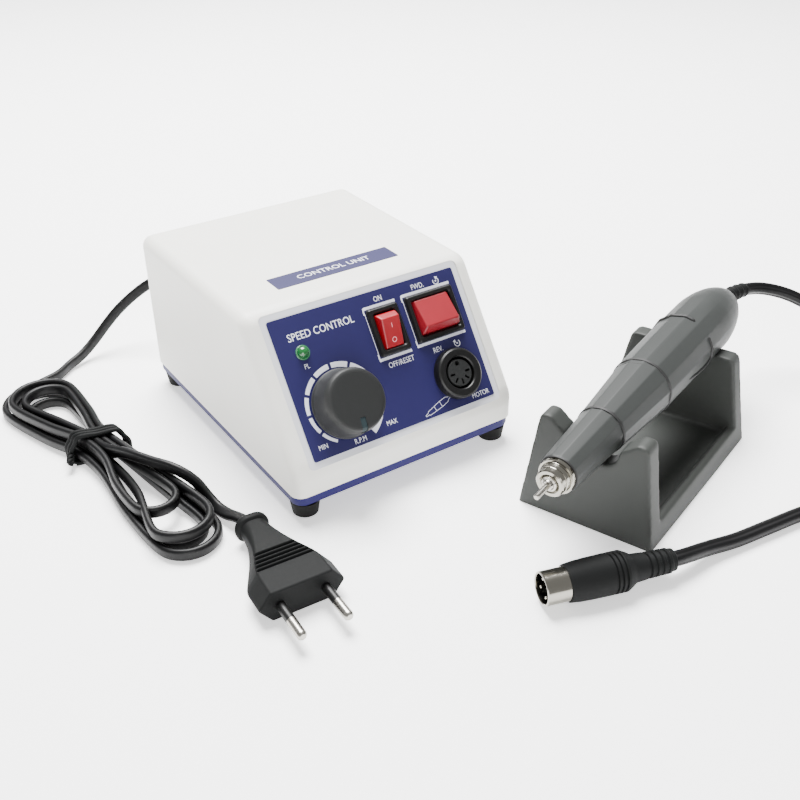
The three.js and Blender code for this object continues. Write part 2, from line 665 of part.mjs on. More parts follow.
// The motor housing: flats on the grip, then a smooth round tail with a domed end.
function motorHousing() {
  const bore = [
    [0, HOUSING.start - 1],
    [8, HOUSING.start - 1],
    [8, 75.5],
    [HOUSING.bore, 75.5],
    [HOUSING.bore, 141],
    [9, 149],
    [6, 155],
    [3.4, 157],
    [3.4, 170],
    [0, 170],
  ];
  const grip = [
    [0, HOUSING.start],
    [SLEEVE.chuckEnd, HOUSING.start],
    [13.8, 90],
    [HOUSING.radius, HOUSING.round],
    [0, HOUSING.round],
  ];
  const tail = [
    [0, HOUSING.round - 1],
    [HOUSING.radius, HOUSING.round - 1],
    [HOUSING.radius, 134],
    [13.7, 139],
    [13, 144],
    [11.9, 149],
    [10.4, 154],
    [8.6, 158.5],
    [6.6, 161.2],
    [5, HOUSING.end],
    [0, HOUSING.end],
  ];
  const body = union(solid(turned(grip, HANDPIECE.flats)), solid(turned(tail, 28)));
  return cut(body, solid(turned(bore, 28)));
}
add("motor_housing", motorHousing(), paint.handGrey, handpiece);

const spindleHousing = [
  [5, 1],
  [6.3, 1],
  [6.3, SLEEVE.noseLength + 0.2],
  [7.5, SLEEVE.noseLength + 0.5],
  [7.5, 76],
  [10.8, 76],
  [10.8, 79],
  [5, 79],
];
add("spindle_housing", turned(spindleHousing, 28, true), paint.steel, handpiece);

const chuckNut = [
  [3.4, -GAP],
  [7.4, -GAP],
  [7.4, -2.2],
  [6.3, -2.9],
  [6.3, -4],
  [5.75, -4.4],
  [5.75, -6.5],
  [5.2, -7.1],
  [3.7, -7.1],
  [3.4, -6.2],
];
add("chuck_nut", turned(chuckNut, 32, true), paint.chrome, handpiece);

const spindle = [[0, 32], [2.1, 32], [2.1, -5], [2.9, -5], [2.9, 83], [0, 83]];
add("spindle", turned(spindle, 24), paint.steel, handpiece);

function collet() {
  const profile = [[1.45, -6.9], [2.7, -6.9], [2.7, -5.4], [1.8, -5.4], [1.8, 24], [1.45, 24]];
  const slits = [0, 60, 120].map((angle) => solid(block(-4, 4, -0.2, 0.2, -9, 10).rotateZ(radians(angle))));
  return cut(solid(turned(profile, 20, true)), ...slits);
}
add("collet", collet(), paint.chrome, handpiece);
const dummyPin = [[0, -16.6], [0.7, -16.3], [1.17, -15.6], [1.17, 20], [0, 20]];
add("dummy_pin", turned(dummyPin, 16), paint.chrome, handpiece);

const bearing = (z0, z1, inner, outer) =>
  turned([[inner, z0], [outer, z0], [outer, z1], [inner, z1]], 24, true);
add("front_bearing", bearing(4, 10, 3.2, 4.7), paint.steel, handpiece);
add("middle_bearing", bearing(66, 72, 3.2, 4.7), paint.steel, handpiece);
add("rear_bearing", bearing(141, 145, 2.4, 6), paint.steel, handpiece);

const armature = [
  [0, 83.5],
  [2, 83.5],
  [2, 90],
  [8.3, 90],
  [8.3, 122],
  [4, 125],
  [4, 134.6],
  [2, 134.6],
  [2, 147],
  [0, 147],
];
add("armature", turned(armature, 24), paint.copper, handpiece);
add("magnet_can", bearing(84, 125, 8.9, 11), paint.magnet, handpiece);
add("brush_holder", bearing(127, 140.6, 6.4, 11), paint.black, handpiece);

// The strain relief bends a little on its way to the cord.
const RELIEF_PATH = [
  placed(handpiece, 0, 0, HOUSING.end + GAP),
  [172.4, -18.8, 46.9],
  [178.3, -17.6, 46.6],
  [184.3, -17.1, 46.1],
];
function handpieceRelief() {
  const sleeve = cordTube(RELIEF_PATH, 8.4, 12, 6).applyMatrix4(handpiece.matrix.clone().invert());
  const root = solid(rod(3.1, 149, HOUSING.end + 1, 0, 0, 12));
  return union(solid(sleeve), root);
}
add("handpiece_strain_relief", handpieceRelief(), paint.black, handpiece);

// ---------------------------------------------------------------- motor cord
const MOTOR_LEAD = [
  [184.7, -17.1, 46],
  [190, -17.1, 45.2],
  [196, -18.2, 44.2],
  [202.2, -21.6, 42.8],
  [208, -27, 40.8],
  [213.5, -34, 37.5],
  [219.5, -42, 32],
  [226.5, -50.5, 25],
  [234.5, -59.5, 18.8],
  [243, -69, 16],
  [250.3, -77.7, 15.9],
];
add("motor_cord_lead", cordTube(MOTOR_LEAD, MOTOR.diameter, MOTOR.sides, 24), paint.cord);

const coilRing = [
  [COIL.inner, COIL.low + 2.5],
  [COIL.inner + 2.5, COIL.low],
  [COIL.outer - 2.5, COIL.low],
  [COIL.outer, COIL.low + 2.5],
  [COIL.outer, COIL.high - 2.5],
  [COIL.outer - 2.5, COIL.high],
  [COIL.inner + 2.5, COIL.high],
  [COIL.inner, COIL.high - 2.5],
];
add("motor_cord_coil", turned(coilRing, 28, true), paint.cord, frame(COIL.x, COIL.y, 0));

// Round plug: its own +Z runs back from the open end of the shell.
const din = frame(DIN.x, DIN.y, DIN.axis);
din.rotation.order = "ZYX";
din.rotation.set(0, Math.PI / 2, radians(DIN.turn));
const dinInsert = 5.4;
const dinProfile = [
  [0, 6.5],
  [dinInsert, 6.5],
  [dinInsert, 9.8],
  [7.25, 9.8],
  [7.7, 14],
  [8, 27],
  [8, 32],
  [5.6, 37],
  [5.25, 42],
  [4.4, DIN.length],
  [3.3, DIN.length],
  [3.3, 47],
  [0, 47],
];
const dinPins = [122, 212, 302].map((angle) => [
  -pinCircle * Math.sin(radians(angle)),
  -pinCircle * Math.cos(radians(angle)),
]);
const dinBores = dinPins.map(([x, y]) => solid(rod(1, 5, 12, x, y, 12)));
add("din_plug_body", cut(solid(turned(dinProfile, 32)), ...dinBores), paint.black, din);
const dinShell = [[5.7, 0], [DIN.shell, 0], [DIN.shell, 9.5], [5.7, 9.5]];
add("din_plug_shell", turned(dinShell, 32, true), paint.chrome, din);
dinPins.forEach(([x, y], i) => {
  const pin = turned([[0, 1], [0.5, 1.3], [0.7, 2], [0.7, 11.5], [0, 11.5]], 12);
  add("din_pin_" + (i + 1), pin, paint.chrome, frame(x, y, 0, din));
});

const MOTOR_TAIL = [
  placed(din, 0, 0, 47.4),
  placed(din, 0, 0, 56),
  [66, -110.6, 5.2],
  [78, -112, 3.3],
  [91.4, -112.9, 3.1],
  [111, -116.3, 3.1],
  [135, -122, 3.1],
  [160, -129.5, 3.1],
  [183, -136.3, 3.1],
  [204, -139.6, 3.1],
];
add("motor_cord_tail", cordTube(MOTOR_TAIL, MOTOR.diameter, MOTOR.sides, 34), paint.cord);

// ---------------------------------------------------------------- the row's frame
const isLooseCord = (name) => /^(mains_cord|motor_cord|hank_tie|plug_|din_)/.test(name);
part.updateMatrixWorld(true);
const bounds = new THREE.Box3();
part.traverse((mesh) => {
  if (mesh.isMesh && !isLooseCord(mesh.name)) bounds.expandByObject(mesh, true);
});
const middle = bounds.getCenter(new THREE.Vector3());
part.position.set(-middle.x, -middle.y, -bounds.min.z);

export default part;
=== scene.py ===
import json
import math
import bpy
import bmesh
import numpy as np
from mathutils import Matrix, Vector


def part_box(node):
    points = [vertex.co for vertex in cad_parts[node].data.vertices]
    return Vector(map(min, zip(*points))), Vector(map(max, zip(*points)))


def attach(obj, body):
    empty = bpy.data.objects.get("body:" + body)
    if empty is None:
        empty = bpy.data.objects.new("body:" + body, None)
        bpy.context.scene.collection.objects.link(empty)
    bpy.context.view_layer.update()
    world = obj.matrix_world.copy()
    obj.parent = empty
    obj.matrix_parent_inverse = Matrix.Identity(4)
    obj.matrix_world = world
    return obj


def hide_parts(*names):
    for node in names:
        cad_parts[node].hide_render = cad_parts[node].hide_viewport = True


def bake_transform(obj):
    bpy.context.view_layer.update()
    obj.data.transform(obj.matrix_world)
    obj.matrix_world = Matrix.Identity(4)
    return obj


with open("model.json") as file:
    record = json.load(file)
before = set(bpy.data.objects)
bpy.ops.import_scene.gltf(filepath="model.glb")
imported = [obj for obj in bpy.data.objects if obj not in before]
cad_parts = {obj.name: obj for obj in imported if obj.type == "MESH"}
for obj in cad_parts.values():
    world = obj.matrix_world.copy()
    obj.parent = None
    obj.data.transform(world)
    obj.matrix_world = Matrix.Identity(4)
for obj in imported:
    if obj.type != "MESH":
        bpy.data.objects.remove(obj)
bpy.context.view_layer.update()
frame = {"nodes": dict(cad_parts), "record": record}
scene = bpy.context.scene

# ---------------------------------------------------------------- driving dimensions
# Lengths are in millimetres, and the matrices below carry them into the frame's metres.
MM = 0.001
CASE_HALF, CASE_DEPTH, CASE_BOTTOM, CASE_TOP = 56.5, 142.2, 12, 78.5
# The front stands upright to SLOPE_FOOT and then leans back over SLOPE_RUN.
SLOPE_FOOT, SLOPE_RUN = 24, 38.5
# Places on the sloped panel: right of its middle, and up the slope from its upper edge.
KNOB_AT, LAMP_AT, SOCKET_AT = (-25.6, -45.3), (-35.1, -20.2), (30.8, -49.7)
POWER_AT, DIRECTION_AT = (5.75, -22.2), (30, -21.8)
LABEL_AT, LABEL_WIDTH, LABEL_HEIGHT = (0.1, -34.2), 92.4, 59.6
GLAND_AT = (-27, CASE_DEPTH, 41)
HAND_AT, HAND_TURN, HAND_RISE = Vector((13.45, -75.34, 42.35)), math.radians(19.67), math.radians(1.62)
ROUND_PLUG_AT, ROUND_PLUG_TURN = Vector((-5.9, -91.5, 8.1)), math.radians(-17.1)
FLAT_PLUG_AT, FLAT_PLUG_TURN = (-76, 3.2, 6.9), -93.4
REST_AT, REST_TURN = (85.75, -48.45, 0), 20.8

# ---------------------------------------------------------------- frames
low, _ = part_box("cover")
SET = Matrix.Translation(Vector((low.x + CASE_HALF * MM, low.y, 0.0))) @ Matrix.Scale(MM, 4)
UP = Vector((0, 0, 1))


def at(x, y, z):
    return SET @ Vector((x, y, z))


def turned_by(degrees, axis):
    return Matrix.Rotation(math.radians(degrees), 4, axis)


def place(origin, turn):
    return SET @ Matrix.Translation(Vector(origin)) @ turn


def basis(x, y, z):
    return Matrix((x, y, z)).transposed().to_4x4()


PANEL_LEAN = Matrix.Rotation(math.atan2(CASE_TOP - SLOPE_FOOT, SLOPE_RUN), 4, "X")
PANEL = place((0, SLOPE_RUN, CASE_TOP), PANEL_LEAN)
KNOB, LAMP, SOCKET = (PANEL @ Matrix.Translation((x, y, 0)) for x, y in (KNOB_AT, LAMP_AT, SOCKET_AT))
GLAND = place(GLAND_AT, turned_by(-90, "X"))
HAND_AXIS = Vector((math.cos(HAND_RISE) * math.cos(HAND_TURN), math.cos(HAND_RISE) * math.sin(HAND_TURN),
                    math.sin(HAND_RISE)))
HAND_X = Vector((-math.sin(HAND_TURN), math.cos(HAND_TURN), 0))
HAND = place(HAND_AT, basis(HAND_X, HAND_AXIS.cross(HAND_X), HAND_AXIS))
ROUND_PLUG_AXIS = Vector((math.cos(ROUND_PLUG_TURN), math.sin(ROUND_PLUG_TURN), 0))
ROUND_PLUG = place(ROUND_PLUG_AT, basis(-UP, UP.cross(ROUND_PLUG_AXIS), ROUND_PLUG_AXIS))
FLAT_PLUG = place(FLAT_PLUG_AT, turned_by(FLAT_PLUG_TURN, "Z"))
REST = place(REST_AT, turned_by(REST_TURN, "Z"))

# ---------------------------------------------------------------- camera
CAMERA_AT = (-204.06, -292.17, 266.05)
LENS, SENSOR = 45.705, 36
yaw, pitch, roll = (math.radians(a) for a in (34.157, 32.332, -0.355))
ahead = Vector((math.sin(yaw) * math.cos(pitch), math.cos(yaw) * math.cos(pitch), -math.sin(pitch)))
right = ahead.cross(UP).normalized()
over = right.cross(ahead)
cam = bpy.data.objects.new("camera", bpy.data.cameras.new("camera"))
cam.data.lens, cam.data.sensor_width, cam.data.clip_start = LENS, SENSOR, 0.01
cam.matrix_world = Matrix.Translation(at(*CAMERA_AT)) @ basis(
    right * math.cos(roll) + over * math.sin(roll), over * math.cos(roll) - right * math.sin(roll), -ahead)
scene.collection.objects.link(cam)
scene.camera = cam

# ---------------------------------------------------------------- materials
BROAD_SCALE, BUMP_DEPTH, COAT_ROUGHNESS = 38, 0.00003, 0.12


def linear(rgb):
    """An 8-bit colour as the linear RGBA that a shader takes."""
    return [((c / 255 + 0.055) / 1.055) ** 2.4 if c > 10 else c / 3294.6 for c in rgb] + [1]


def material(name, rgb, rough=0.45, metal=0.0, vary=0.05, grain=900, bump=0.08, coat=0.0, specular=0.5,
             glow=0.0):
    """A procedural finish: its colour and roughness vary a little, and it has a fine surface grain."""
    m = bpy.data.materials.new(name)
    m.use_nodes = True
    n, link = m.node_tree.nodes, m.node_tree.links.new
    shader = n["Principled BSDF"]
    shader.inputs["Metallic"].default_value = metal
    shader.inputs["Coat Weight"].default_value = coat
    shader.inputs["Specular IOR Level"].default_value = specular
    if coat:
        shader.inputs["Coat Roughness"].default_value = COAT_ROUGHNESS
    where = n.new("ShaderNodeTexCoord")
    fine, broad = n.new("ShaderNodeTexNoise"), n.new("ShaderNodeTexNoise")
    fine.inputs["Scale"].default_value, fine.inputs["Detail"].default_value = grain, 3
    broad.inputs["Scale"].default_value, broad.inputs["Detail"].default_value = BROAD_SCALE, 4
    for noise in (fine, broad):
        link(where.outputs["Object"], noise.inputs["Vector"])
    base = linear(rgb)
    shade = n.new("ShaderNodeValToRGB")
    for end, position, sign in zip(shade.color_ramp.elements, (0.3, 0.7), (-1, 1)):
        end.position = position
        end.color = [min(1, c * (1 + sign * vary)) for c in base[:3]] + [1]
    link(broad.outputs["Fac"], shade.inputs["Fac"])
    link(shade.outputs["Color"], shader.inputs["Base Color"])
    gloss = n.new("ShaderNodeMapRange")
    gloss.inputs["To Min"].default_value = max(0.02, rough - 0.05)
    gloss.inputs["To Max"].default_value = rough + 0.06
    link(fine.outputs["Fac"], gloss.inputs["Value"])
    link(gloss.outputs["Result"], shader.inputs["Roughness"])
    tooth = n.new("ShaderNodeBump")
    tooth.inputs["Strength"].default_value, tooth.inputs["Distance"].default_value = bump, BUMP_DEPTH
    link(fine.outputs["Fac"], tooth.inputs["Height"])
    link(tooth.outputs["Normal"], shader.inputs["Normal"])
    if glow:
        link(shade.outputs["Color"], shader.inputs["Emission Color"])
        shader.inputs["Emission Strength"].default_value = glow
    return m


MAT = {
    "case": material("case_finish", (232, 231, 224), 0.42, vary=0.015, grain=1400, bump=0.22),
    "border": material("border_finish", (205, 206, 212), 0.5, vary=0.02),
    "label": material("label_finish", (27, 24, 70), 0.45, vary=0.03, grain=2200, bump=0.12, specular=0.35),
    "print": material("print_ink", (216, 217, 226), 0.5, vary=0.02),
    "base": material("base_finish", (34, 30, 84), 0.5, vary=0.04, bump=0.15, specular=0.15),
    "foot": material("foot_rubber", (16, 16, 15), 0.75, vary=0.1, grain=1600, bump=0.3, specular=0.2),
    "black": material("black_plastic", (14, 14, 14), 0.38, vary=0.06, bump=0.12, specular=0.3),
    "dark": material("deep_black", (12, 12, 12), 0.6, vary=0.1),
    "rocker_a": material("rocker_red", (142, 8, 22), 0.32, vary=0.05, coat=0.15, bump=0.04),
    "rocker_b": material("rocker_red_pale", (128, 18, 30), 0.38, vary=0.05, coat=0.1, bump=0.04),
    "mark": material("rocker_mark", (236, 150, 158), 0.4, vary=0.02),
    "knob": material("knob_grey", (28, 29, 29), 0.5, vary=0.03, grain=2000, bump=0.15, specular=0.35),
    "pointer": material("pointer_grey", (34, 46, 49), 0.6, vary=0.04, specular=0.2),
    "led": material("led_green", (14, 84, 36), 0.12, vary=0.15, coat=0.6, bump=0.0),
    "led_rim": material("led_rim", (52, 110, 70), 0.25, vary=0.05, coat=0.5),
    "cord": material("cord_black", (9, 9, 10), 0.42, vary=0.08, grain=700, bump=0.1, specular=0.2),
    "plug": material("plug_black", (17, 18, 18), 0.62, vary=0.06, grain=1500, bump=0.2, specular=0.1),
    "cradle": material("cradle_grey", (50, 52, 50), 0.54, vary=0.03, grain=1800, bump=0.15, specular=0.22),
    "hand": material("hand_grey", (46, 48, 47), 0.46, vary=0.03, grain=2200, bump=0.1, specular=0.27),
    "chrome": material("chrome", (150, 147, 138), 0.16, 1.0, vary=0.03, bump=0.03),
    "steel": material("steel", (168, 165, 158), 0.26, 1.0, vary=0.05, bump=0.06),
    "brass": material("brass", (196, 160, 84), 0.28, 1.0, vary=0.05),
    "board": material("board_green", (36, 92, 54), 0.5, vary=0.08),
    "copper": material("copper_winding", (176, 96, 52), 0.34, 1.0, vary=0.1, grain=500, bump=0.3),
    "magnet": material("magnet_dark", (58, 58, 60), 0.45, 0.7, vary=0.08),
}
BY_SLOT = {
    "black_plastic": "black", "rocker_red": "rocker_a", "knob_grey": "knob", "pointer_grey": "pointer",
    "steel": "steel", "brass": "brass", "led_green": "led", "case_white": "case", "label_blue": "label",
    "label_frame": "border", "base_blue": "base", "foot_rubber": "foot", "board_green": "board",
    "copper": "copper", "cord_black": "cord", "chrome": "chrome", "cradle_grey": "cradle",
    "hand_grey": "hand", "magnet_dark": "magnet",
}
for entry in frame["record"]["materials"]:
    for node in entry.get("nodes", []):
        cad = frame["nodes"][node]
        cad.data.materials.clear()
        cad.data.materials.append(MAT[BY_SLOT[entry["slot"]]])


# ---------------------------------------------------------------- mesh tools
def add_object(name, data):
    o = bpy.data.objects.new(name, data)
    scene.collection.objects.link(o)
    return o


def mesh_object(name, verts, faces, m=SET):
    me = bpy.data.meshes.new(name)
    me.from_pydata([m @ Vector(v) for v in verts], [], faces)
    bm = bmesh.new()
    bm.from_mesh(me)
    bmesh.ops.remove_doubles(bm, verts=bm.verts, dist=1e-7)
    bmesh.ops.recalc_face_normals(bm, faces=bm.faces)
    bm.to_mesh(me)
    bm.free()
    return add_object(name, me)


def bake(o):
    """Applies every modifier."""
    me = bpy.data.meshes.new_from_object(o.evaluated_get(bpy.context.evaluated_depsgraph_get()))
    o.modifiers.clear()
    o.data = me
    return o


def carve(o, *tools, op="DIFFERENCE"):
    for t in tools:
        m = o.modifiers.new("cut", "BOOLEAN")
        m.object, m.operation, m.solver = t, op, "EXACT"
    bake(o)
    for t in tools:
        bpy.data.objects.remove(t)
    return o


def soften(o, width, segments=3, limit=30):
    m = o.modifiers.new("edge", "BEVEL")
    m.width, m.segments = width * MM, segments
    m.limit_method, m.angle_limit = "ANGLE", math.radians(limit)
    return bake(o)


def ready(o, mat, body, nodes=(), angle=38, weighted=True):
    """Smooths and paints a piece and hands it to its body."""
    o.data.shade_smooth()
    o.data.set_sharp_from_angle(angle=math.radians(angle))
    if weighted:
        m = o.modifiers.new("normals", "WEIGHTED_NORMAL")
        m.keep_sharp = True
        bake(o)
    o.data.materials.clear()
    o.data.materials.append(MAT[mat])
    for p in o.data.polygons:
        p.material_index = 0
    if body:
        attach(o, body)
    if nodes:
        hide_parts(*nodes)
    return o


def join(name, parts):
    """One object from several objects or meshes; the objects are used up."""
    bm = bmesh.new()
    for part in parts:
        if isinstance(part, bpy.types.Object):
            bm.from_mesh(part.data)
            bpy.data.objects.remove(part)
        else:
            bm.from_mesh(part)
    me = bpy.data.meshes.new(name)
    bm.to_mesh(me)
    bm.free()
    return add_object(name, me)


def loft(name, rings, m=SET, ring_closed=False):
    """A skin over rings of points, closed by two caps or from the last ring back to the first."""
    n, verts, faces = len(rings[0]), [p for r in rings for p in r], []
    for k in range(len(rings) - (0 if ring_closed else 1)):
        a, b = k * n, ((k + 1) % len(rings)) * n
        faces += [(a + i, a + (i + 1) % n, b + (i + 1) % n, b + i) for i in range(n)]
    if not ring_closed:
        faces += [tuple(range(n)), tuple(range((len(rings) - 1) * n, len(rings) * n))]
    return mesh_object(name, verts, faces, m)


def level(outline, z):
    return [(x, y, z) for x, y in outline]


def prism(name, outline, z0, z1, m=SET):
    return loft(name, [level(outline, z) for z in (z0, z1)], m)


def oblong(x0, x1, y0, y1):
    return [(x0, y0), (x1, y0), (x1, y1), (x0, y1)]


def disc(r, n=20, x=0, y=0):
    return [(x + r * math.cos(2 * math.pi * i / n), y + r * math.sin(2 * math.pi * i / n)) for i in range(n)]


def rounded(w, h, r, x=0, y=0, n=6):
    """A w by h rectangle about (x, y) with corners of radius r."""
    out = []
    for k, (sx, sy) in enumerate(((1, 1), (-1, 1), (-1, -1), (1, -1))):
        for i in range(n + 1):
            a = math.radians(90 * k + 90 * i / n)
            out.append((x + sx * (w / 2 - r) + r * math.cos(a), y + sy * (h / 2 - r) + r * math.sin(a)))
    return out


def turned(name, profile, m=SET, n=96, hollow=False):
    """A solid of revolution about local Z from (radius, height) points; a hollow one's profile is a loop."""
    return loft(name, [level(disc(max(r, 0.001), n), z) for r, z in profile], m, ring_closed=hollow)


def bore(x, y, r, z0, z1, m, n=48):
    return prism("bore", disc(r, n, x, y), z0, z1, m)


def spline(pts, step):
    """Points every step mm along a smooth line through pts."""
    samples = 12
    p = np.array([tuple(q) for q in pts], float)
    p = np.vstack([2 * p[0] - p[1], p, 2 * p[-1] - p[-2]])
    out = []
    for a, b, c, d in zip(p, p[1:], p[2:], p[3:]):
        t1 = np.linalg.norm(b - a) ** 0.5
        t2 = t1 + np.linalg.norm(c - b) ** 0.5
        t3 = t2 + np.linalg.norm(d - c) ** 0.5
        for t in np.linspace(t1, t2, samples, endpoint=False):
            a1 = (t1 - t) / t1 * a + t / t1 * b
            a2 = (t2 - t) / (t2 - t1) * b + (t - t1) / (t2 - t1) * c
            a3 = (t3 - t) / (t3 - t2) * c + (t - t2) / (t3 - t2) * d
            b1 = (t2 - t) / t2 * a1 + t / t2 * a2
            b2 = (t3 - t) / (t3 - t1) * a2 + (t - t1) / (t3 - t1) * a3
            out.append((t2 - t) / (t2 - t1) * b1 + (t - t1) / (t2 - t1) * b2)
    out = np.array(out + [p[-2]])
    run = np.concatenate([[0], np.cumsum(np.linalg.norm(np.diff(out, axis=0), axis=1))])
    even = np.linspace(0, run[-1], max(2, round(run[-1] / step)) + 1)
    return [Vector([np.interp(v, run, out[:, k]) for k in range(3)]) for v in even]


def tube(name, path, section, m=SET, upright=False, turn=None):
    """Carries a section along path: (side, up) points, or a function of the distance gone that gives them."""
    rings, side, gone = [], None, 0.0
    for i, p in enumerate(path):
        t = (path[min(i + 1, len(path) - 1)] - path[max(i - 1, 0)]).normalized()
        gone += (p - path[i - 1]).length if i else 0
        if side is None or upright:
            side = t.cross(UP)
            side = (side if side.length > 1e-3 else t.cross(Vector((0, 1, 0)))).normalized()
        else:
            side = (side - t * side.dot(t)).normalized()
        up = side.cross(t)
        a = turn(gone) if turn else 0.0
        s2, u2 = side * math.cos(a) + up * math.sin(a), up * math.cos(a) - side * math.sin(a)
        rings.append([p + s2 * x + u2 * y for x, y in (section(gone) if callable(section) else section)])
    return loft(name, rings, m)


def length_of(path):
    return sum((b - a).length for a, b in zip(path, path[1:])) * MM


# ---------------------------------------------------------------- mains cord, its hank and tie
HANK_LEAN = math.radians(9.6)
HANK_AT = (-104.8, 86.0)
LAYER_1, LAYER_2, CROWN, TIE_LIFT = 2.9, 8.6, 14.2, 1.2


def hank(s, t, z):
    """A place in the hank: s to the right of its length, t up its length from the tie."""
    c, k = math.cos(HANK_LEAN), math.sin(HANK_LEAN)
    return (HANK_AT[0] + s * c - t * k, HANK_AT[1] + s * k + t * c, z)


def bend(s, t, r, z, angles):
    """Places round one end of a turn, centred on (s, t)."""
    return [hank(s + r * math.cos(math.radians(a)), t + r * math.sin(math.radians(a)), z) for a in angles]


def mix(a, b, share):
    return a + (b - a) * share


def mains_path():
    """Down from the gland, round the hank and out to the plug."""
    pts = [(-27, 150, 41), (-27, 158, 41), (-27, 163.5, 40.9), (-28.4, 171, 39.6), (-33, 178, 36.6),
           (-41, 183, 32.4), (-50, 185.2, 27), (-59, 185.6, 21), (-67, 185, 14.6), (-75, 183, 8.6),
           (-83, 180, 4.6), (-91, 176.2, 3.1), hank(20, 82, LAYER_1), hank(11, 80.3, LAYER_1)]
    # The turns: upper bend, place at the tie going down, lower bend, place at the tie going up.
    # A bend is its centre, its radius and its height; a place at the tie is s and the layer's height.
    turns = [
        ((0.3, 62.2, 16.4, LAYER_1), (-8.3, LAYER_1), (-4.3, -68.6, 12.7, LAYER_1), (8.3, LAYER_1)),
        ((0.3, 60.0, 12.9, LAYER_1), (-5.0, LAYER_1), (-4.3, -65.0, 9.2, LAYER_1), (5.0, LAYER_1)),
        ((0.2, 52.5, 9.4, LAYER_1), (-1.7, LAYER_1), (-4.2, -64.0, 12.4, LAYER_2), (5.2, LAYER_2)),
        ((-0.2, 57.0, 14.2, LAYER_2), (-5.2, LAYER_2), (-4.6, -46.5, 8.9, LAYER_2), (1.8, LAYER_2)),
    ]
    last_bend = (0.6, 54.0, 10.4, LAYER_2)
    upper_angles, lower_angles = (8, 35, 62, 90, 118, 146, 172), (188, 215, 242, 270, 298, 325, 352)
    for i, (upper, down, lower, up) in enumerate(turns):
        s, _, r, z = upper
        s2, t2, r2, z2 = lower
        after = turns[i + 1][0] if i + 1 < len(turns) else last_bend
        tie_down, tie_up = down[1] + TIE_LIFT, up[1] + TIE_LIFT
        above_lower = (t2 + 8) * 0.55 - 8
        climbs = z2 > tie_down + 2
        pts += bend(*upper, upper_angles[0 if i else 3:])
        pts += [hank(mix(down[0], s - r, 0.55), 32, mix(tie_down, z, 0.6)), hank(down[0], 12, tie_down),
                hank(down[0], -8, tie_down),
                hank(mix(down[0], s2 - r2, 0.4 if climbs else 0.75), above_lower,
                     z2 + 0.3 if climbs else mix(tie_down, z2, 0.7))]
        pts += bend(*lower, lower_angles)
        pts += [hank(mix(up[0], s2 + r2, 0.75), above_lower, mix(tie_up, z2, 0.7)), hank(up[0], -8, tie_up),
                hank(up[0], 12, tie_up),
                hank(mix(up[0], after[0] + after[2], 0.55), 32, mix(tie_up, after[3], 0.6))]
    pts += bend(*last_bend, upper_angles)
    pts += [hank(-4.6, 30, LAYER_2 + 0.6), hank(-1.7, 12, LAYER_2 + 1.2), hank(-1.4, -4, LAYER_2 + 2.2),
            hank(1.0, -18, CROWN), hank(5.0, -31, CROWN + 0.4), hank(9.4, -42.5, CROWN + 0.1),
            (-83.4, 38.5, 10.2), (-81.4, 31.8, 5.4), (-80.2, 25.5, 3.2), (-78.9, 18.5, 3.9),
            (-77.3, 12.6, 5.4), (-76.4, 7, 6.6), (-76.1, 1.5, 6.9)]
    return spline(pts, 2.5)


def flat_section(core, reach, n=24):
    """Two cores side by side: half circles of radius core about centres reach above and below the middle."""
    return [(core * math.cos(a), math.copysign(reach, math.sin(a)) + core * math.sin(a))
            for a in (2 * math.pi * (i + 0.5) / n for i in range(n))]


def roll_to_plug(gone):
    """The flat cord rolls a quarter turn over the 30 mm before it meets the plug."""
    return math.radians(90) * min(1, max(0, (gone - (mains_length / MM - 42)) / 30))


mains = mains_path()
mains_length = length_of(mains)
flex = tube("mains_flex", mains, flat_section(1.6, 1.1), upright=True, turn=roll_to_plug)
ready(flex, "cord", "console", ("mains_cord_lead", "mains_cord_hank", "mains_cord_tail"),
      angle=60, weighted=False)


def tie_band():
    """Three wraps round the hank."""
    wraps, steps, keep = 3, 48, 4
    loop = [(-11.2, 1.2), (11.2, 1.2), (11.3, 7.4), (8.0, 13.7), (-8.0, 13.7), (-11.3, 7.4)]
    path = []
    for i in range(0, wraps * steps + 1, keep):
        u = (i / steps % 1) * len(loop)
        k = int(u) % len(loop)
        (xa, za), (xb, zb) = loop[k], loop[(k + 1) % len(loop)]
        x, z = mix(xa, xb, u - int(u)), mix(za, zb, u - int(u))
        path.append(hank(x, 7 - 0.42 * x + 2.15 * (i / steps - wraps / 2), z))
    return tube("wraps", spline(path, 1.2), disc(1.05, 14))


def tie_end(side):
    """One of the two strands twisted together past the wraps."""
    knot = []
    for i in range(13):
        a, d = side + i * 0.75, i * 0.62
        s, t, z = -11.2 - d * 0.55, 11.4 - d * 0.8, 6.0 - d * 0.17 + 0.8 * math.sin(a)
        knot.append(hank(s + 0.64 * math.cos(a), t - 0.44 * math.cos(a), z))
    return tube("twist", spline(knot, 0.8), disc(0.9, 10))


tie = join("hank_wire_tie", [tie_band(), tie_end(0), tie_end(math.pi)])
ready(tie, "plug", "console", ("hank_tie",), angle=60, weighted=False)

# ---------------------------------------------------------------- two-pin plug
PIN_HALF_SPACING, PIN_RADIUS = 9.3, 2.0
GROOVE_START, GROOVE_PITCH, GROOVES, GROOVE_DEPTH = 22.5, 2.3, 5, 1.5


def groove_depth(x):
    turns = (x - GROOVE_START) / GROOVE_PITCH
    return GROOVE_DEPTH * (0.5 - 0.5 * math.cos(2 * math.pi * turns)) ** 1.3 if 0 <= turns <= GROOVES else 0.0


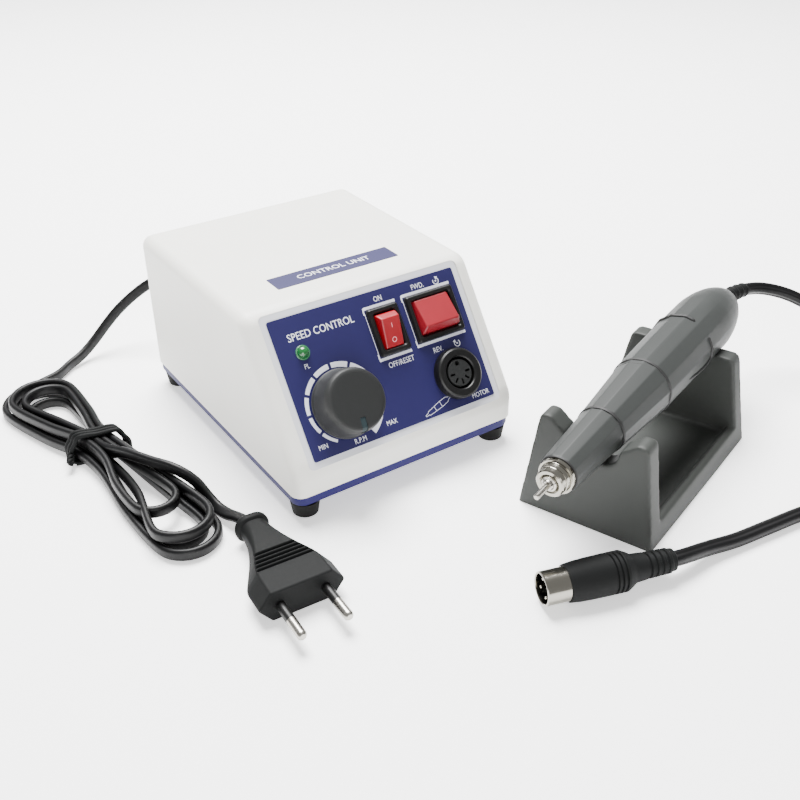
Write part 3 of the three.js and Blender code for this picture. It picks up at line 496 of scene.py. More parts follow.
def plug_section(x, ridge, top, h, r):
    """One six-sided section: side ridges at half-width ridge, and a flat top and bottom of half-width top."""
    tip = (ridge * h - r * math.hypot(h, ridge - top)) / h
    corner = tip - (ridge - top) * (h - r) / h
    lean, quarter, half = math.atan2(ridge - top, h), math.pi / 2, math.pi
    arcs = [(tip, 0, -lean, lean), (corner, h - r, lean, quarter), (-corner, h - r, quarter, half - lean),
            (-tip, 0, half - lean, half + lean), (-corner, r - h, half + lean, 3 * quarter),
            (corner, r - h, 3 * quarter, 2 * half - lean)]
    out = []
    for y, z, start, end in arcs:
        for i in range(8):
            a = mix(start, end, i / 7)
            py, pz = y + r * math.cos(a), z + r * math.sin(a)
            on_top = min(1.0, max(0.0, (top + 0.3 - abs(py)) / 0.9))
            out.append((x, py, pz - math.copysign(groove_depth(x) * on_top, pz)))
    return out


# Distance along, half-width at the ridges, half-width of the flat top, half-thickness, corner radius.
stations = [(-1, 5.9, 5.6, 5.0, 4.5), (-0.5, 6.8, 6.5, 5.8, 5.3), (0.3, 7.1, 6.8, 6.1, 5.6),
            (1.7, 7.1, 6.8, 6.1, 5.6), (2.3, 6.7, 6.4, 5.7, 5.2), (2.8, 5.6, 5.3, 4.9, 4.3),
            (6, 5.7, 5.3, 5.0, 3.6), (11, 6.5, 5.7, 5.3, 2.8), (16, 8.1, 6.4, 5.6, 2.2),
            (20, 9.7, 7.4, 5.8, 1.8), (24, 11.6, 8.7, 6.0, 1.6), (28, 13.8, 10.2, 6.2, 1.5),
            (31.5, 15.7, 11.4, 6.4, 1.4),
            (34, 17.0, 12.0, 6.7, 1.3), (35.5, 17.5, 12.2, 6.8, 1.3), (37, 17.7, 12.3, 6.8, 1.3),
            (46.0, 17.7, 12.5, 6.8, 1.3), (46.6, 17.4, 12.3, 6.6, 1.2), (47, 16.9, 11.9, 6.2, 1.1)]
columns = list(zip(*stations))
distances = sorted(set(columns[0]) | {GROOVE_START + 0.2 * i for i in range(58)})
rings = [plug_section(x, *[float(np.interp(x, columns[0], column)) for column in columns[1:]])
         for x in distances]
plug = ready(loft("europlug_body", rings, FLAT_PLUG), "plug", "console", ("plug_body",),
             angle=42)
pins, sleeves = [], []
for side in (-1, 1):
    axis = FLAT_PLUG @ Matrix.Translation((46.5, PIN_HALF_SPACING * side, 0)) @ turned_by(90, "Y")
    sleeves.append(turned("sleeve", [(0, 0), (1.95, 0), (1.95, 9.7), (1.75, 10.1), (0, 10.1)], axis, 40))
    pins.append(turned("pin", [(0, 9.9), (PIN_RADIUS, 9.9), (PIN_RADIUS, 17.6), (1.85, 18.5), (1.3, 19.2),
                               (0, 19.5)], axis, 40))
sleeve = ready(join("europlug_sleeves", sleeves), "black", "console")
pin = ready(join("europlug_pins", pins), "steel", "console", ("plug_pin_left", "plug_pin_right"))

# ---------------------------------------------------------------- motor cord, its plug and its bend relief
COIL_AT = (227.0, -101.0)


def motor_path():
    """From the handpiece down to the table, round the coil outside the view, and back to the round plug."""
    lead = [HAND_AT + HAND_AXIS * 158] + [Vector(p) for p in (
        (172.4, -18.8, 46.9), (178.3, -17.6, 46.6), (184.7, -17.1, 46), (190, -17.1, 45.2),
        (196, -18.2, 44.2), (202.2, -21.6, 42.8), (208, -27, 40.8), (213.5, -34, 37.5), (219.5, -42, 32.4),
        (226.5, -50.5, 26.6), (234.5, -59.8, 20.6), (243, -69, 16.6))]
    # The coil winds inwards on its upper layer and outwards on its lower one.
    coil, whole_turn, points = [], 1575, 88
    for i in range(points):
        w = whole_turn * i / (points - 1)
        r = np.interp(w, [0, 60, 160, 880, 960, whole_turn], [33.5, 39.4, 39.4, 27.1, 27.1, 39.3])
        z = np.interp(w, [0, 60, 150, 880, 960, whole_turn], [15.6, 15.4, 9.3, 9.3, 3.2, 3.2])
        a = math.radians(45 - w)
        coil.append(Vector((COIL_AT[0] + r * math.cos(a), COIL_AT[1] + r * math.sin(a), z)))
    tail = [Vector(p) for p in (
        (208, -140.0, 3.2), (188, -136.6, 3.2), (165, -129.8, 3.2), (140, -120.9, 3.2), (117, -114.8, 3.2),
        (97, -112.3, 3.2), (79, -110.3, 3.4), (66, -108.6, 4.8))]
    tail += [ROUND_PLUG_AT + ROUND_PLUG_AXIS * along for along in (56, 47)]
    return spline(lead + coil + tail, 2.5)


def ribbed_section(ribs=4, n=36):
    """A round section with narrow grooves between its ribs."""
    out = []
    for i in range(n):
        a = 2 * math.pi * i / n
        r = 3.06 - 0.6 * (0.5 - 0.5 * math.cos(ribs * a)) ** 3
        out.append((r * math.cos(a), r * math.sin(a)))
    return out


motor = motor_path()
cord = tube("motor_flex", motor, ribbed_section())
ready(cord, "cord", None, ("motor_cord_lead", "motor_cord_coil", "motor_cord_tail"), angle=60,
      weighted=False)
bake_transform(cord)

profile = [(0, 6.5), (5.4, 6.5), (5.4, 9.4), (7.0, 9.6), (7.25, 10), (7.7, 14), (7.9, 19), (8.0, 26.4),
           (8.0, 27)]
for k in range(3):
    z = 27 + k * 1.9
    profile += [(8.0, z + 0.1), (7.35, z + 0.35), (7.35, z + 0.85), (8.0, z + 1.1), (8.0, z + 1.8)]
profile += [(7.9, 33), (6.6, 35.4), (5.6, 37), (5.3, 41)]
for k in range(4):
    z, r = 42 + k * 2.5, 5.2 - 0.06 * k
    profile += [(r, z), (4.5, z + 0.3), (4.5, z + 0.95), (r - 0.05, z + 1.25), (r - 0.1, z + 2.3)]
profile += [(4.5, 52.4), (4.4, 54), (3.9, 54.4), (0, 54.4)]
din_body = ready(turned("round_plug_body", profile, ROUND_PLUG), "plug", "console",
                 ("din_plug_body",), angle=30)
profile = [(6.25, 0), (6.6, 0.3), (6.6, 9.9), (5.7, 9.9), (5.7, 0.3), (5.95, 0)]
din_shell = ready(turned("round_plug_shell", profile, ROUND_PLUG, hollow=True), "chrome", "console",
                  ("din_plug_shell",))
din_pins = []
for a in (122, 212, 302):
    t = math.radians(a)
    spot = ROUND_PLUG @ Matrix.Translation((-3.5 * math.sin(t), -3.5 * math.cos(t), 0))
    din_pins.append(turned("pin", [(0, 6), (0.72, 6), (0.72, 1.5), (0.5, 1.1), (0, 1.0)], spot, 20))
din_pins = ready(join("round_plug_pins", din_pins), "chrome", "console",
                 ("din_pin_1", "din_pin_2", "din_pin_3"))


def relief_section(gone):
    """A plain sleeve, then a taper with rounded rings 4.3 mm apart."""
    plain, pitch, most = 13.5, 4.3, 4.45
    if gone <= plain:
        return disc(min(4.55 - 0.03 * gone, most), 36)
    ring = (0.5 - 0.5 * math.cos(2 * math.pi * (gone - plain) / pitch)) ** 0.6
    return disc(max(3.2, min(4.35 - 0.045 * (gone - plain) - 0.62 * ring, most)), 36)


relief_path = spline([HAND_AT + HAND_AXIS * 150, HAND_AT + HAND_AXIS * 162.3, Vector((172.4, -18.8, 46.9)),
                      Vector((178.3, -17.6, 46.6)), Vector((185.3, -17.05, 46.0))], 0.4)
hand_relief = ready(tube("handpiece_bend_relief", relief_path, relief_section), "plug", "handpiece",
                    ("handpiece_strain_relief",), angle=50)


# ---------------------------------------------------------------- control box
def case_block(name, inset, bottom, radius):
    """The case's outer form, shrunk by inset, with every edge but the bottom ones rounded."""
    outline = [(inset, bottom), (inset, SLOPE_FOOT - inset * 0.4),
               (SLOPE_RUN + inset * 0.5, CASE_TOP - inset), (CASE_DEPTH - inset, CASE_TOP - inset),
               (CASE_DEPTH - inset, bottom)]
    half = CASE_HALF - inset
    o = loft(name, [[(x, y, z) for y, z in outline] for x in (-half, half)])
    bm = bmesh.new()
    bm.from_mesh(o.data)
    rim = at(0, 0, bottom).z
    edges = [e for e in bm.edges if not all(abs(v.co.z - rim) < 1e-5 for v in e.verts)]
    bmesh.ops.bevel(bm, geom=edges, offset=radius * MM, segments=8, affect="EDGES", profile=0.5,
                    clamp_overlap=True)
    bm.to_mesh(o.data)
    bm.free()
    return o


def label_outline(grow, radius):
    return rounded(LABEL_WIDTH + grow, LABEL_HEIGHT + grow, radius, *LABEL_AT)


def panel_openings(z0, z1):
    """Cutters for the two switches, the socket, the knob's shaft and the lamp."""
    switches = [prism("opening", rounded(w, 19, 1, *spot), z0, z1, PANEL)
                for spot, w in ((POWER_AT, 13.6), (DIRECTION_AT, 22.6))]
    round_ones = [bore(*spot, r, z0, z1, PANEL)
                  for spot, r in ((SOCKET_AT, 9.4), (KNOB_AT, 5), (LAMP_AT, 2.6))]
    return switches + round_ones


cover = case_block("case_cover", 0, CASE_BOTTOM, 5.2)
carve(cover, case_block("inner", 2.5, 9, 3.2))
recess = [(6, 2.5, -0.85), (6, 2.5, -0.15), (6.6, 2.8, 0.15), (6.6, 2.8, 6)]
carve(cover, loft("recess", [level(label_outline(grow, r), z) for grow, r, z in recess], PANEL))
carve(cover, *panel_openings(-8, 4), bore(0, 0, 4.7, -6, 3, GLAND))
ready(cover, "case", "console", ("cover",), angle=32)

tray = [(109.2, 138.4, 4.6, 7.0), (111.2, 140.4, 5.4, 7.5), (112.0, 141.2, 5.8, 8.4),
        (112.0, 141.2, 5.8, 11.75)]
base = loft("base_tray", [level(rounded(w, d, r, 0, CASE_DEPTH / 2, 10), z) for w, d, r, z in tray])
ready(base, "base", "console", ("base_plate",), angle=25)
foot_profile = [(0, 2.2), (3.4, 2.2), (3.4, 0.3), (3.7, 0), (4.9, 0), (5.5, 0.5), (6.3, 5.6), (6.5, 7.05),
                (0, 7.05)]
for end, y in (("front", 7), ("back", 133.7)):
    for flank, x in (("left", -49.1), ("right", 49.1)):
        node = "foot_" + end + "_" + flank
        foot = turned(node + "_rubber", foot_profile, SET @ Matrix.Translation((x, y, 0)), 64)
        ready(foot, "foot", "console", (node,))

border = prism("label_border", label_outline(5.6, 2.3), -0.84, -0.62, PANEL)
label = prism("front_label_sheet", label_outline(0, 0.9), -0.83, -0.25, PANEL)
for sheet, mat, slot, node in ((border, "border", "label_frame", "label_frame"),
                               (label, "label", "label_blue", "front_label")):
    carve(sheet, *panel_openings(-2, 2))
    ready(sheet, mat, "console", (node,))
top_label = soften(prism("top_label_sheet", rounded(60.5, 11.2, 0.5, -0.6, 58.4), 78.3, 78.72), 0.1, 2)
ready(top_label, "label", "console", ("top_label",))

# ---------------------------------------------------------------- prints, a hair above the label
INK = -0.245
HALF_INK = 0.02


def letters(text, x, y, size, m=PANEL, z=INK, squeeze=0.82, thick=0.0):
    c = bpy.data.curves.new("letters", "FONT")
    c.body, c.size, c.align_x, c.align_y = text, size, "CENTER", "CENTER"
    c.extrude, c.resolution_u, c.offset = HALF_INK, 3, thick * size
    o = add_object("letters", c)
    me = bpy.data.meshes.new_from_object(o.evaluated_get(bpy.context.evaluated_depsgraph_get()))
    bpy.data.objects.remove(o)
    me.transform(m @ Matrix.Translation((x, y, z)) @ Matrix.Diagonal((squeeze, 1, 1, 1)))
    return me


def ink(outline, m=PANEL, z=INK):
    return prism("ink", outline, z - HALF_INK, z + HALF_INK, m)


def stroke(points, w, m):
    """A line of width w through points, one bar for each stretch."""
    out = []
    for a, b in zip(points, points[1:]):
        a, b = Vector(a), Vector(b)
        d = (b - a).normalized() * (w / 2)
        n = Vector((-d.y, d.x))
        out.append(ink([tuple(p) for p in (a - d + n, b + d + n, b + d - n, a - d - n)], m))
    return out


def sector(inner, outer, start, end, x, y, n=10):
    """A band of a ring: angles run clockwise from the top, and a radius is a pair, at start and end."""
    def edge(radii):
        out = []
        for i in range(n + 1):
            r, a = mix(*radii, i / n), math.radians(mix(start, end, i / n))
            out.append((x + r * math.sin(a), y + r * math.cos(a)))
        return out
    return edge(outer) + edge(inner)[::-1]


def dial_marks():
    """Ten blocks round the knob, each a little wider than the one before."""
    out = []
    for k in range(10):
        start, inner, outer = 209.8 + 30.35 * k, 15.0 + 0.08 * k, 16.25 + 0.27 * k
        out.append(ink(sector((inner, inner + 0.08), (outer, outer + 0.27), start, start + 25.9, *KNOB_AT)))
    return out


def switch_frame(x, y, w):
    """Lines above, below and left of a switch."""
    left, right, half_line = x - w / 2, x + w / 2, 0.62
    out = []
    for s in (1, -1):
        edge = y + s * 11.35
        cut = edge + (0.1 if s > 0 else half_line)
        out.append(ink([(left - 0.9, edge - half_line), (right + 0.2, edge - half_line),
                        (right + 0.2, edge + half_line), (left - 0.2, edge + half_line), (left - 0.9, cut)]))
        out.append(ink(oblong(left - 1.0, left - 0.35, edge - half_line * s, edge - 2.6 * s)))
    out.append(ink(oblong(left - 0.55, left - 0.3, y - 10.6, y + 10.6)))
    return out


def turn_symbol(x, y, flip):
    """A broken circle with an arrowhead and a dot; flip is 1 or -1, the end that bears the arrowhead."""
    start, end, r = 40, 300, 1.42
    t = math.radians(start if flip > 0 else end)
    out, across = Vector((math.sin(t), math.cos(t))), Vector((-math.cos(t), math.sin(t))) * flip
    tip = Vector((x, y)) + out * r
    head = [tuple(p) for p in (tip + across * 1.3, tip + out * 0.85, tip - out * 0.85)]
    return [ink(sector((1.25, 1.25), (1.6, 1.6), start, end, x, y, 18)), ink(head),
            ink(sector((0.01, 0.01), (0.4, 0.4), 0, 350, x, y, 12))]


def handpiece_sketch():
    m = PANEL @ Matrix.Translation((16.6, -60.3, 0)) @ turned_by(17, "Z")
    lower = [(-7.4, -0.25), (-5.6, -0.5), (-5.4, -0.9), (1.8, -1.35), (5.4, -1.2), (6.6, -0.5), (7.6, -0.35)]
    outline = lower + [(x, -y) for x, y in reversed(lower)] + lower[:1]
    lines = (outline, [(-1.6, -1.1), (-1.6, 1.1)], [(1.9, -1.3), (1.9, 1.3)])
    return [bar for line in lines for bar in stroke(line, 0.2, m)]


prints = dial_marks()
prints += [letters(*words) for words in (
    ("MIN", -40.3, -59.2, 3.0), ("R.P.M", -23.4, -61.9, 3.1), ("MAX", -7.0, -59.6, 3.0),
    ("PL", -35.3, -26.1, 3.0), ("ON", 6.0, -8.2, 3.3), ("OFF/RESET", 7.0, -36.9, 3.4),
    ("FWD.", 26.6, -8.1, 3.3), ("REV.", 26.2, -37.1, 3.3), ("MOTOR", 39.4, -61.6, 3.1))]
prints.append(letters("SPEED CONTROL", -23.8, -13.3, 4.6, squeeze=0.88, thick=0.006))
prints += switch_frame(*POWER_AT, 15.4) + switch_frame(*DIRECTION_AT, 24.7)
prints += turn_symbol(36.4, -8.2, 1) + turn_symbol(36.5, -37.1, -1) + handpiece_sketch()
prints.append(letters("CONTROL UNIT", -0.6, 58.3, 5.0, SET, 78.735, 0.98, thick=0.004))
ready(join("panel_prints", prints), "print", "console", weighted=False)

# ---------------------------------------------------------------- switches
CAP_SLOPE, CAP_TOP = 0.085, 4.9


def switch(name, spot, width, shank_width, mouth_width, tilt, lean, mat):
    """A housing and its rocker, whose raised end and two sides lean inwards to a flat face."""
    x, y = spot
    steps = ((-0.2, 0), (1.0, 0.05), (1.6, 0.3), (2.0, 0.75))
    bezel = loft(name + "_bezel", [level(rounded(width - 2 * i, 21 - 2 * i, max(0.5, 1.3 - i), x, y), z)
                                   for z, i in steps], PANEL)
    carve(bezel, prism("shank", rounded(shank_width, 18.6, 1, x, y), -14, 0.3, PANEL), op="UNION")
    steps = ((-12, 0), (1.3, 0), (2.1, 0.7), (3, 1.2))
    carve(bezel, loft("mouth", [level(rounded(mouth_width + 2 * g, 15.9 + 2 * g, 0.9 + g, x, y), z)
                                for z, g in steps], PANEL))
    ready(bezel, "black", "console", (name + "_switch_housing",), angle=32)
    pivot = PANEL @ Matrix.Translation((x, y, -1)) @ turned_by(tilt, "X")
    cap_width, up = mouth_width - 0.5, 1 if tilt > 0 else -1
    rings = [level(rounded(cap_width, 15.2, 0.6), z) for z in (-4.5, 1.9)]
    rings.append([(px, py, CAP_TOP + CAP_SLOPE * up * py)
                  for px, py in rounded(cap_width - 2 * lean, 12.9, 0.6, 0, -0.55 * up)])
    rocker = soften(loft(name + "_rocker_cap", rings, pivot), 0.55, 4, 24)
    ready(rocker, mat, name + "_rocker", (name + "_rocker",), angle=42)
    return pivot


def on_cap(pivot, y):
    """The frame of a mark lying on a rocker's face, y up from its middle."""
    slope = Matrix.Rotation(math.atan(CAP_SLOPE), 4, "X")
    return pivot @ Matrix.Translation((0, y, CAP_TOP + 0.03 + CAP_SLOPE * y)) @ slope


power = switch("power", POWER_AT, width=15.4, shank_width=13.2, mouth_width=10.6, tilt=12, lean=0.7,
               mat="rocker_a")
marks = [ink(oblong(-0.16, 0.16, -1.0, 1.0), on_cap(power, 2.4), 0.0),
         ink(sector((0.85, 0.85), (1.15, 1.15), 0, 359.9, 0, 0, 28), on_cap(power, -3.9), 0.0)]
ready(join("power_rocker_marks", marks), "mark", "power_rocker", weighted=False)
switch("direction", DIRECTION_AT, width=24.7, shank_width=22.2, mouth_width=20.1, tilt=-12, lean=1.3,
       mat="rocker_b")

# ---------------------------------------------------------------- knob, lamp, socket, rear cord gland
profile = [(0, 0.9), (14.2, 0.9), (14.75, 1.2), (14.75, 1.9), (14.3, 2.6), (14.0, 6), (13.62, 10.6),
           (13.45, 11.8), (13.05, 12.9), (12.5, 13.6), (11.8, 13.95), (10.8, 14.0), (0, 14.0)]
knob = turned("speed_knob_cap", profile, KNOB, 160)
notch = KNOB @ turned_by(-184, "Z")
carve(knob, prism("slot", oblong(-1.25, 1.25, 7.4, 15), 13.2, 16, notch),
      prism("slot", oblong(-1.25, 1.25, 11.75, 15), 10.2, 16, notch))
ready(knob, "knob", "knob", ("speed_knob",), angle=24)
side_view = [(7.5, 13.0), (7.5, 13.8), (11.6, 13.75), (12.35, 13.3), (13.0, 12.2), (13.3, 10.3), (11.9, 10.3),
             (11.5, 13.0)]
pointer = loft("knob_pointer_inlay", [[(x, y, z) for y, z in side_view] for x in (-1.2, 1.2)], notch)
ready(soften(pointer, 0.1, 2), "pointer", "knob", ("knob_pointer",))

profile = [(2.45, -0.5), (3.15, -0.5), (3.15, 0.1), (2.95, 0.35), (2.6, 0.4), (2.45, 0.2)]
ready(turned("lamp_rim", profile, LAMP, 64, hollow=True), "led_rim", "console")
dome = [(2.5 * math.cos(a), 0.2 + 2.3 * math.sin(a)) for a in (math.radians(9 * i) for i in range(1, 11))]
ready(turned("lamp_dome", [(0, -2), (2.5, -2), (2.5, 0.2)] + dome, LAMP, 64), "led", "console",
      ("led_lens",))

profile = [(7.1, -9), (9.2, -9), (9.2, -0.3), (11.2, -0.3), (11.35, 0.2), (11.2, 2.6), (10.8, 3.5),
           (10.1, 4.0), (8.2, 4.0), (7.5, 3.8), (7.1, 3.3)]
ready(turned("socket_ring", profile, SOCKET, 128, hollow=True), "black", "console",
      ("socket_shell",), angle=30)
profile = [(0, -6), (7.05, -6), (7.05, -3.8), (6.0, -3.8), (6.0, 2.9), (5.75, 3.2), (0, 3.2)]
insert = turned("socket_face", profile, SOCKET, 96)
key_hole = bore(0, 4.3, 1.1, 0.4, 5, SOCKET, 24)
slit = rounded(2.6, 0.95, 0.4, 3.9, 0, 4)
pin_holes = [prism("hole", slit, 0.4, 5, SOCKET @ turned_by(-45 * k, "Z")) for k in range(5)]
carve(insert, key_hole, *pin_holes)
ready(insert, "knob", "console", ("socket_insert",), angle=30)

gland = [(2.76, 0.3), (6.2, 0.3), (6.5, 0.6), (6.5, 2.2), (6.1, 2.6), (4.95, 2.8)]
for k in range(5):
    z = 4.2 + k * 3.2
    groove = 4.0 - 0.05 * (z - 2.8)
    gland += [(4.85 - 0.065 * (z - 2.8), z), (groove, z + 0.35), (groove, z + 1.05),
              (4.8 - 0.065 * (z - 1.4), z + 1.4)]
gland += [(3.65, 20.1), (3.4, 20.5), (2.76, 20.5)]
ready(turned("rear_cord_gland", gland, GLAND, 64, hollow=True), "plug", "console",
      ("mains_strain_relief",), angle=30)

# ---------------------------------------------------------------- cradle
REST_HALF, REST_FOOT, REST_TOP, REST_SPREAD, REST_HEIGHT = 49.15, 29.9, 22.9, 2.6, 47.5


def filleted(corners, n=6):
    """A closed outline through (across, up, radius) corners, each one rounded."""
    out = []
    for i, (y, z, r) in enumerate(corners):
        here = Vector((y, z))
        back, on = Vector(corners[i - 1][:2]) - here, Vector(corners[(i + 1) % len(corners)][:2]) - here
        room = 0.9 * min(back.length, on.length)
        back.normalize()
        on.normalize()
        half = back.angle(on) / 2
        cut = min(r / math.tan(half), room)
        mid = here + (back + on).normalized() * (cut / math.cos(half))
        v, w = here + back * cut - mid, here + on * cut - mid
        start = math.atan2(v.y, v.x)
        sweep = (math.atan2(w.y, w.x) - start + math.pi) % (2 * math.pi) - math.pi
        for k in range(n + 1):
            a = start + sweep * k / n
            out.append((mid.x + v.length * math.cos(a), mid.y + v.length * math.sin(a)))
    return out


def rest_width(x, z):
    """Half the cradle's width between its sloped sides, at x along it and z up."""
    foot = REST_FOOT + REST_SPREAD * (x + REST_HALF) / (2 * REST_HALF)
    return foot - (foot - REST_TOP) * z / REST_HEIGHT


def rest_slice(x, corners):
    """The slice at x: corners are (half-width, height, radius), with None for the sloped side's width."""
    half = [(rest_width(x, z) if w is None else w, z, r) for w, z, r in corners]
    return [(x, y, z) for y, z in filleted(half + [(-y, z, r) for y, z, r in reversed(half)])]


def rest_plate(x0, x1, corners):
    return loft("plate", [rest_slice(x, corners) for x in (x0, x1)], REST)


def rest_tray(x):
    """The tray's slice at x: two low rims with a flat floor between them."""
    w = rest_width(x, 9.5)
    return rest_slice(x, [(None, -4, 0.5), (None, 9.5, 1.2), (w - 3, 9.5, 1), (w - 5.5, 5, 3)])


def moulded(o):
    """Merges the parts into one skin with the rounded edges of a moulding."""
    skin = o.modifiers.new("skin", "REMESH")
    skin.mode, skin.voxel_size = "VOXEL", 0.6 * MM
    smooth = o.modifiers.new("smooth", "SMOOTH")
    smooth.factor, smooth.iterations = 0.5, 20
    o.modifiers.new("fewer", "DECIMATE").ratio = 0.16
    return bake(o)


def flat_underside(o):
    """Cuts off everything below the table and closes the cut."""
    bm = bmesh.new()
    bm.from_mesh(o.data)
    bmesh.ops.bisect_plane(bm, geom=bm.verts[:] + bm.edges[:] + bm.faces[:], plane_co=(0, 0, 0.05 * MM),
                           plane_no=UP, clear_inner=True)
    bmesh.ops.holes_fill(bm, edges=[e for e in bm.edges if e.is_boundary], sides=0)
    bmesh.ops.recalc_face_normals(bm, faces=bm.faces)
    bm.to_mesh(o.data)
    bm.free()


front_plate = [(None, -4, 0.5), (None, 46.7, 3.2), (18.6, 46.7, 2.6), (11.5, 41.2, 2.0), (11.4, 32.7, 7.4)]
rear_plate = [(None, -4, 0.5), (None, 42.2, 3.2), (15.6, 42.2, 2.2), (11.5, 39.4, 1.6), (11.4, 31.3, 7.2)]
cradle = join("handpiece_rest", [rest_plate(-50.2, -40.7, front_plate), rest_plate(40.9, 49.6, rear_plate),
                                 loft("tray", [rest_tray(x) for x in (-48, 48)], REST)])
moulded(cradle)
flat_underside(cradle)
ready(cradle, "cradle", "console", ("cradle",), angle=80)

# ---------------------------------------------------------------- handpiece
FLATS, CHAMFER = 14, 0.42
HALF_FLAT = math.pi / FLATS


def facets(name, profile):
    """A prism of FLATS sides with chamfered corners, through (radius, height) points."""
    rings = []
    for r, z in profile:
        r = max(r, 0.001)
        c = min(0.45, CHAMFER / max(r, 0.1))
        angles = [2 * math.pi * (k + 0.5) / FLATS + off for k in range(FLATS) for off in (-c, 0, c)]
        rings.append([(r * math.cos(a), r * math.sin(a), z) for a in angles])
    return loft(name, rings, HAND)


def housing_ring(r, z):
    """A ring of the motor housing, which goes from flats to round along the dome."""
    roundness = min(1, max(0, (z - 118) / 16))
    c, out = CHAMFER / r, []
    for k in range(FLATS):
        for off in (-c, 0, c, *(mix(c, 2 * HALF_FLAT - c, share) for share in (0.25, 0.5, 0.75))):
            a = 2 * HALF_FLAT * (k + 0.5) + off
            inward = min(abs(off), 2 * HALF_FLAT - off)
            on_flat = inward >= c - 1e-9
            flat_r = r * math.cos(HALF_FLAT - c) / math.cos(HALF_FLAT - inward) if on_flat else r
            radius = mix(flat_r, r, roundness)
            out.append((radius * math.cos(a), radius * math.sin(a), z))
    return out


ready(facets("nose_grip", [(0, 0.0), (7.6, 0.0), (8.0, 0.25), (8.12, 0.6), (9.98, 33.35), (0, 33.35)]),
      "hand", "handpiece", ("nose_sleeve",), angle=30)
profile = [(6.2, -0.25), (7.7, -0.25), (7.9, 0.1), (7.9, 0.6), (6.2, 0.6)]
ready(turned("nose_dark_ring", profile, HAND, 96, hollow=True), "dark", "handpiece")
ready(facets("chuck_grip", [(0, 34.8), (10.35, 34.8), (13.08, 70.35), (0, 70.35)]),
      "hand", "chuck_sleeve", ("chuck_sleeve",), angle=30)
# Painted shade: a deep-black core, nearly flush, fills the seams between the nose sleeve, the chuck sleeve
# and the housing, so the gaps read dark by colour.
profile = [(0, 33.3), (9.9, 33.3), (10.28, 33.45), (10.4, 34.6), (10.2, 34.85), (9.3, 35.4), (12.2, 69.5),
           (12.95, 70.3), (13.32, 70.45), (13.42, 71.55), (13.2, 71.8), (12.4, 72.5), (0, 72.5)]
ready(turned("grip_seam_painted_shade", profile, HAND, 72), "dark", "handpiece")
profile = [(13.28, 71.75), (13.8, 90), (14.1, 112.8), (14.12, 118), (14.12, 122), (14.12, 126),
           (14.12, 130), (14.1, 134), (13.95, 137), (13.6, 140), (13.15, 143.4), (12.65, 146), (12.0, 148.8),
           (11.2, 151.8), (10.35, 154.2), (9.4, 156.6), (8.4, 158.7), (7.2, 160.5), (6.3, 161.4),
           (5.2, 162.0), (0.01, 162.2)]
ready(loft("motor_grip", [housing_ring(r, z) for r, z in profile], HAND), "hand", "handpiece",
      ("motor_housing",), angle=24)


def on_surface(a, z, lift):
    """A place on the flats: a is the angle about the axis from straight up, positive on the box's side."""
    r = float(np.interp(z, [0.6, 33.9, 70.7, 90, 112.8, 134], [8.12, 10.05, 13.18, 13.8, 14.1, 14.1]))
    t = math.radians(90 - a)
    off = (t - HALF_FLAT) % (2 * HALF_FLAT)
    r = r * math.cos(HALF_FLAT) / math.cos(off - HALF_FLAT) + lift
    return Vector((r * math.cos(t), r * math.sin(t), z))


seam = [on_surface(100 - 2.5 * i, 68.2, -0.16) for i in range(41)]
ready(tube("chuck_seam_line", seam, disc(0.3, 10), HAND), "dark", "chuck_sleeve", angle=60,
      weighted=False)
# The housing's moulded lines: one half round it, and one that turns towards the nose.
left_hook = [on_surface(a, 112.9, 0.1) for a in np.linspace(100, -15, 48)] + [on_surface(-16.5, 112.9, -0.6)]
right_hook = [on_surface(-57, 112.2, -0.6)]
right_hook += [on_surface(a, 112.2, 0.1) for a in np.linspace(-58.5, -93, 18)]
right_hook += [on_surface(*spot) for spot in (
    (-98, 111.2, 0.05), (-101.5, 108.6, 0), (-102, 104, 0), (-100, 98, 0), (-96, 92, -0.1),
    (-94.5, 89.5, -0.6))]
hooks = [tube("hook", left_hook, disc(0.85, 12), HAND), tube("hook", right_hook, disc(0.75, 12), HAND)]
ready(join("motor_seam_lines", hooks), "dark", "handpiece", angle=60, weighted=False)

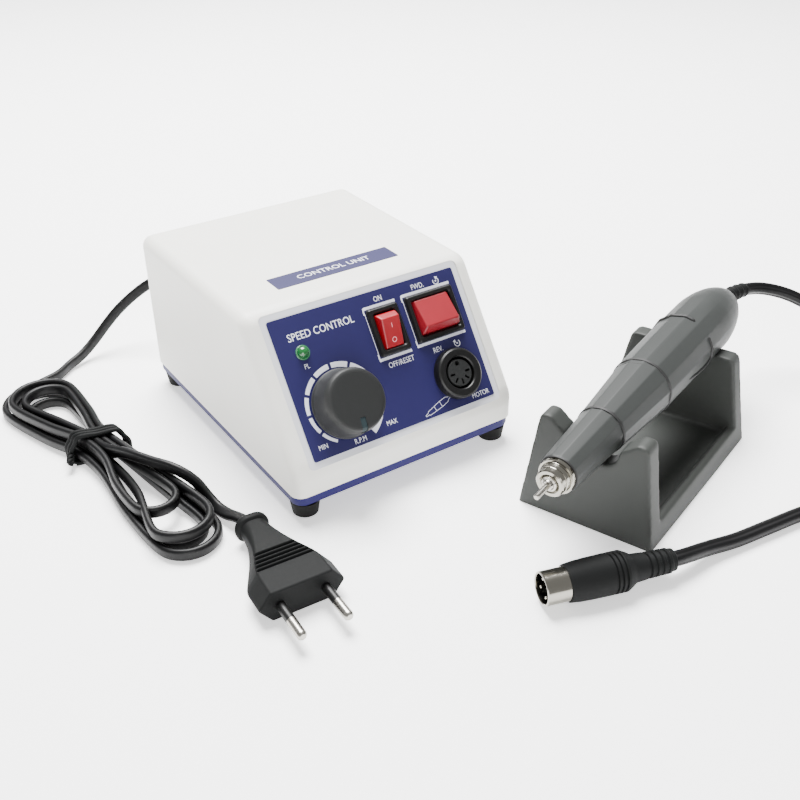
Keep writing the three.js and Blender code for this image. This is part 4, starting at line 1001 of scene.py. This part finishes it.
profile = [(3.4, -0.2), (7.3, -0.2), (7.42, -0.5), (7.42, -1.8), (7.2, -2.1), (6.5, -2.15), (6.35, -2.4),
           (6.3, -4.1), (6.1, -4.4), (5.85, -4.45), (5.75, -4.7), (5.75, -6.5), (5.3, -7.05), (4.1, -7.1),
           (3.4, -6.4)]
nut = turned("chuck_nut_steps", profile, HAND, 96, hollow=True)
carve(nut, *[prism("slot", oblong(6.7, 8.2, -1.1, 1.1), -1.5, -0.7, HAND @ turned_by(60 * k + 20, "Z"))
             for k in range(6)])
ready(nut, "chrome", "handpiece", ("chuck_nut",), angle=30)
profile = [(1.19, -8.6), (1.9, -8.6), (2.2, -8.2), (2.3, -7.5), (3.0, -7.3), (3.2, -6.9), (3.25, -5.4),
           (2.2, -5.1), (2.2, 24), (1.19, 24)]
collet = turned("collet_nose", profile, HAND, 48, hollow=True)
carve(collet, *[prism("slit", oblong(0.2, 4, -0.16, 0.16), -9, 12, HAND @ turned_by(120 * k + 30, "Z"))
                for k in range(3)])
ready(collet, "steel", "collet", ("collet",), angle=30)
rod = turned("dummy_pin_rod", [(0, -16.6), (0.85, -16.6), (1.17, -16.2), (1.17, 20), (0, 20)], HAND, 32)
ready(rod, "steel", "dummy_pin", ("dummy_pin",))

# ---------------------------------------------------------------- floor and light, in metres
FLOOR_HALF, FLOOR_Z = 30, -0.0001
floor_mesh = bpy.data.meshes.new("floor")
floor_mesh.from_pydata([(x, y, FLOOR_Z) for x, y in oblong(-FLOOR_HALF, FLOOR_HALF, -FLOOR_HALF, FLOOR_HALF)],
                       [], [(0, 1, 2, 3)])
floor_mesh.materials.append(
    material("floor_finish", (252, 252, 252), 0.7, vary=0.004, bump=0.0, specular=0.2, glow=0.9))
add_object("floor", floor_mesh)


def light(name, where, aim, size, power):
    data = bpy.data.lights.new(name, "AREA")
    data.shape, data.size, data.energy = "DISK", size, power
    o = add_object(name, data)
    o.location = where
    o.rotation_euler = (Vector(aim) - Vector(where)).to_track_quat("-Z", "Y").to_euler()


light("key", (0.1, 0.5, 1.25), (0, 0, 0.03), 0.9, 96)
light("fill", (-0.65, -1.15, 0.3), (0.05, -0.05, 0.03), 0.8, 11)
world = bpy.data.worlds.new("room")
world.use_nodes = True
world.node_tree.nodes["Background"].inputs["Color"].default_value = (1, 1, 1, 1)
world.node_tree.nodes["Background"].inputs["Strength"].default_value = 0.5
scene.world = world
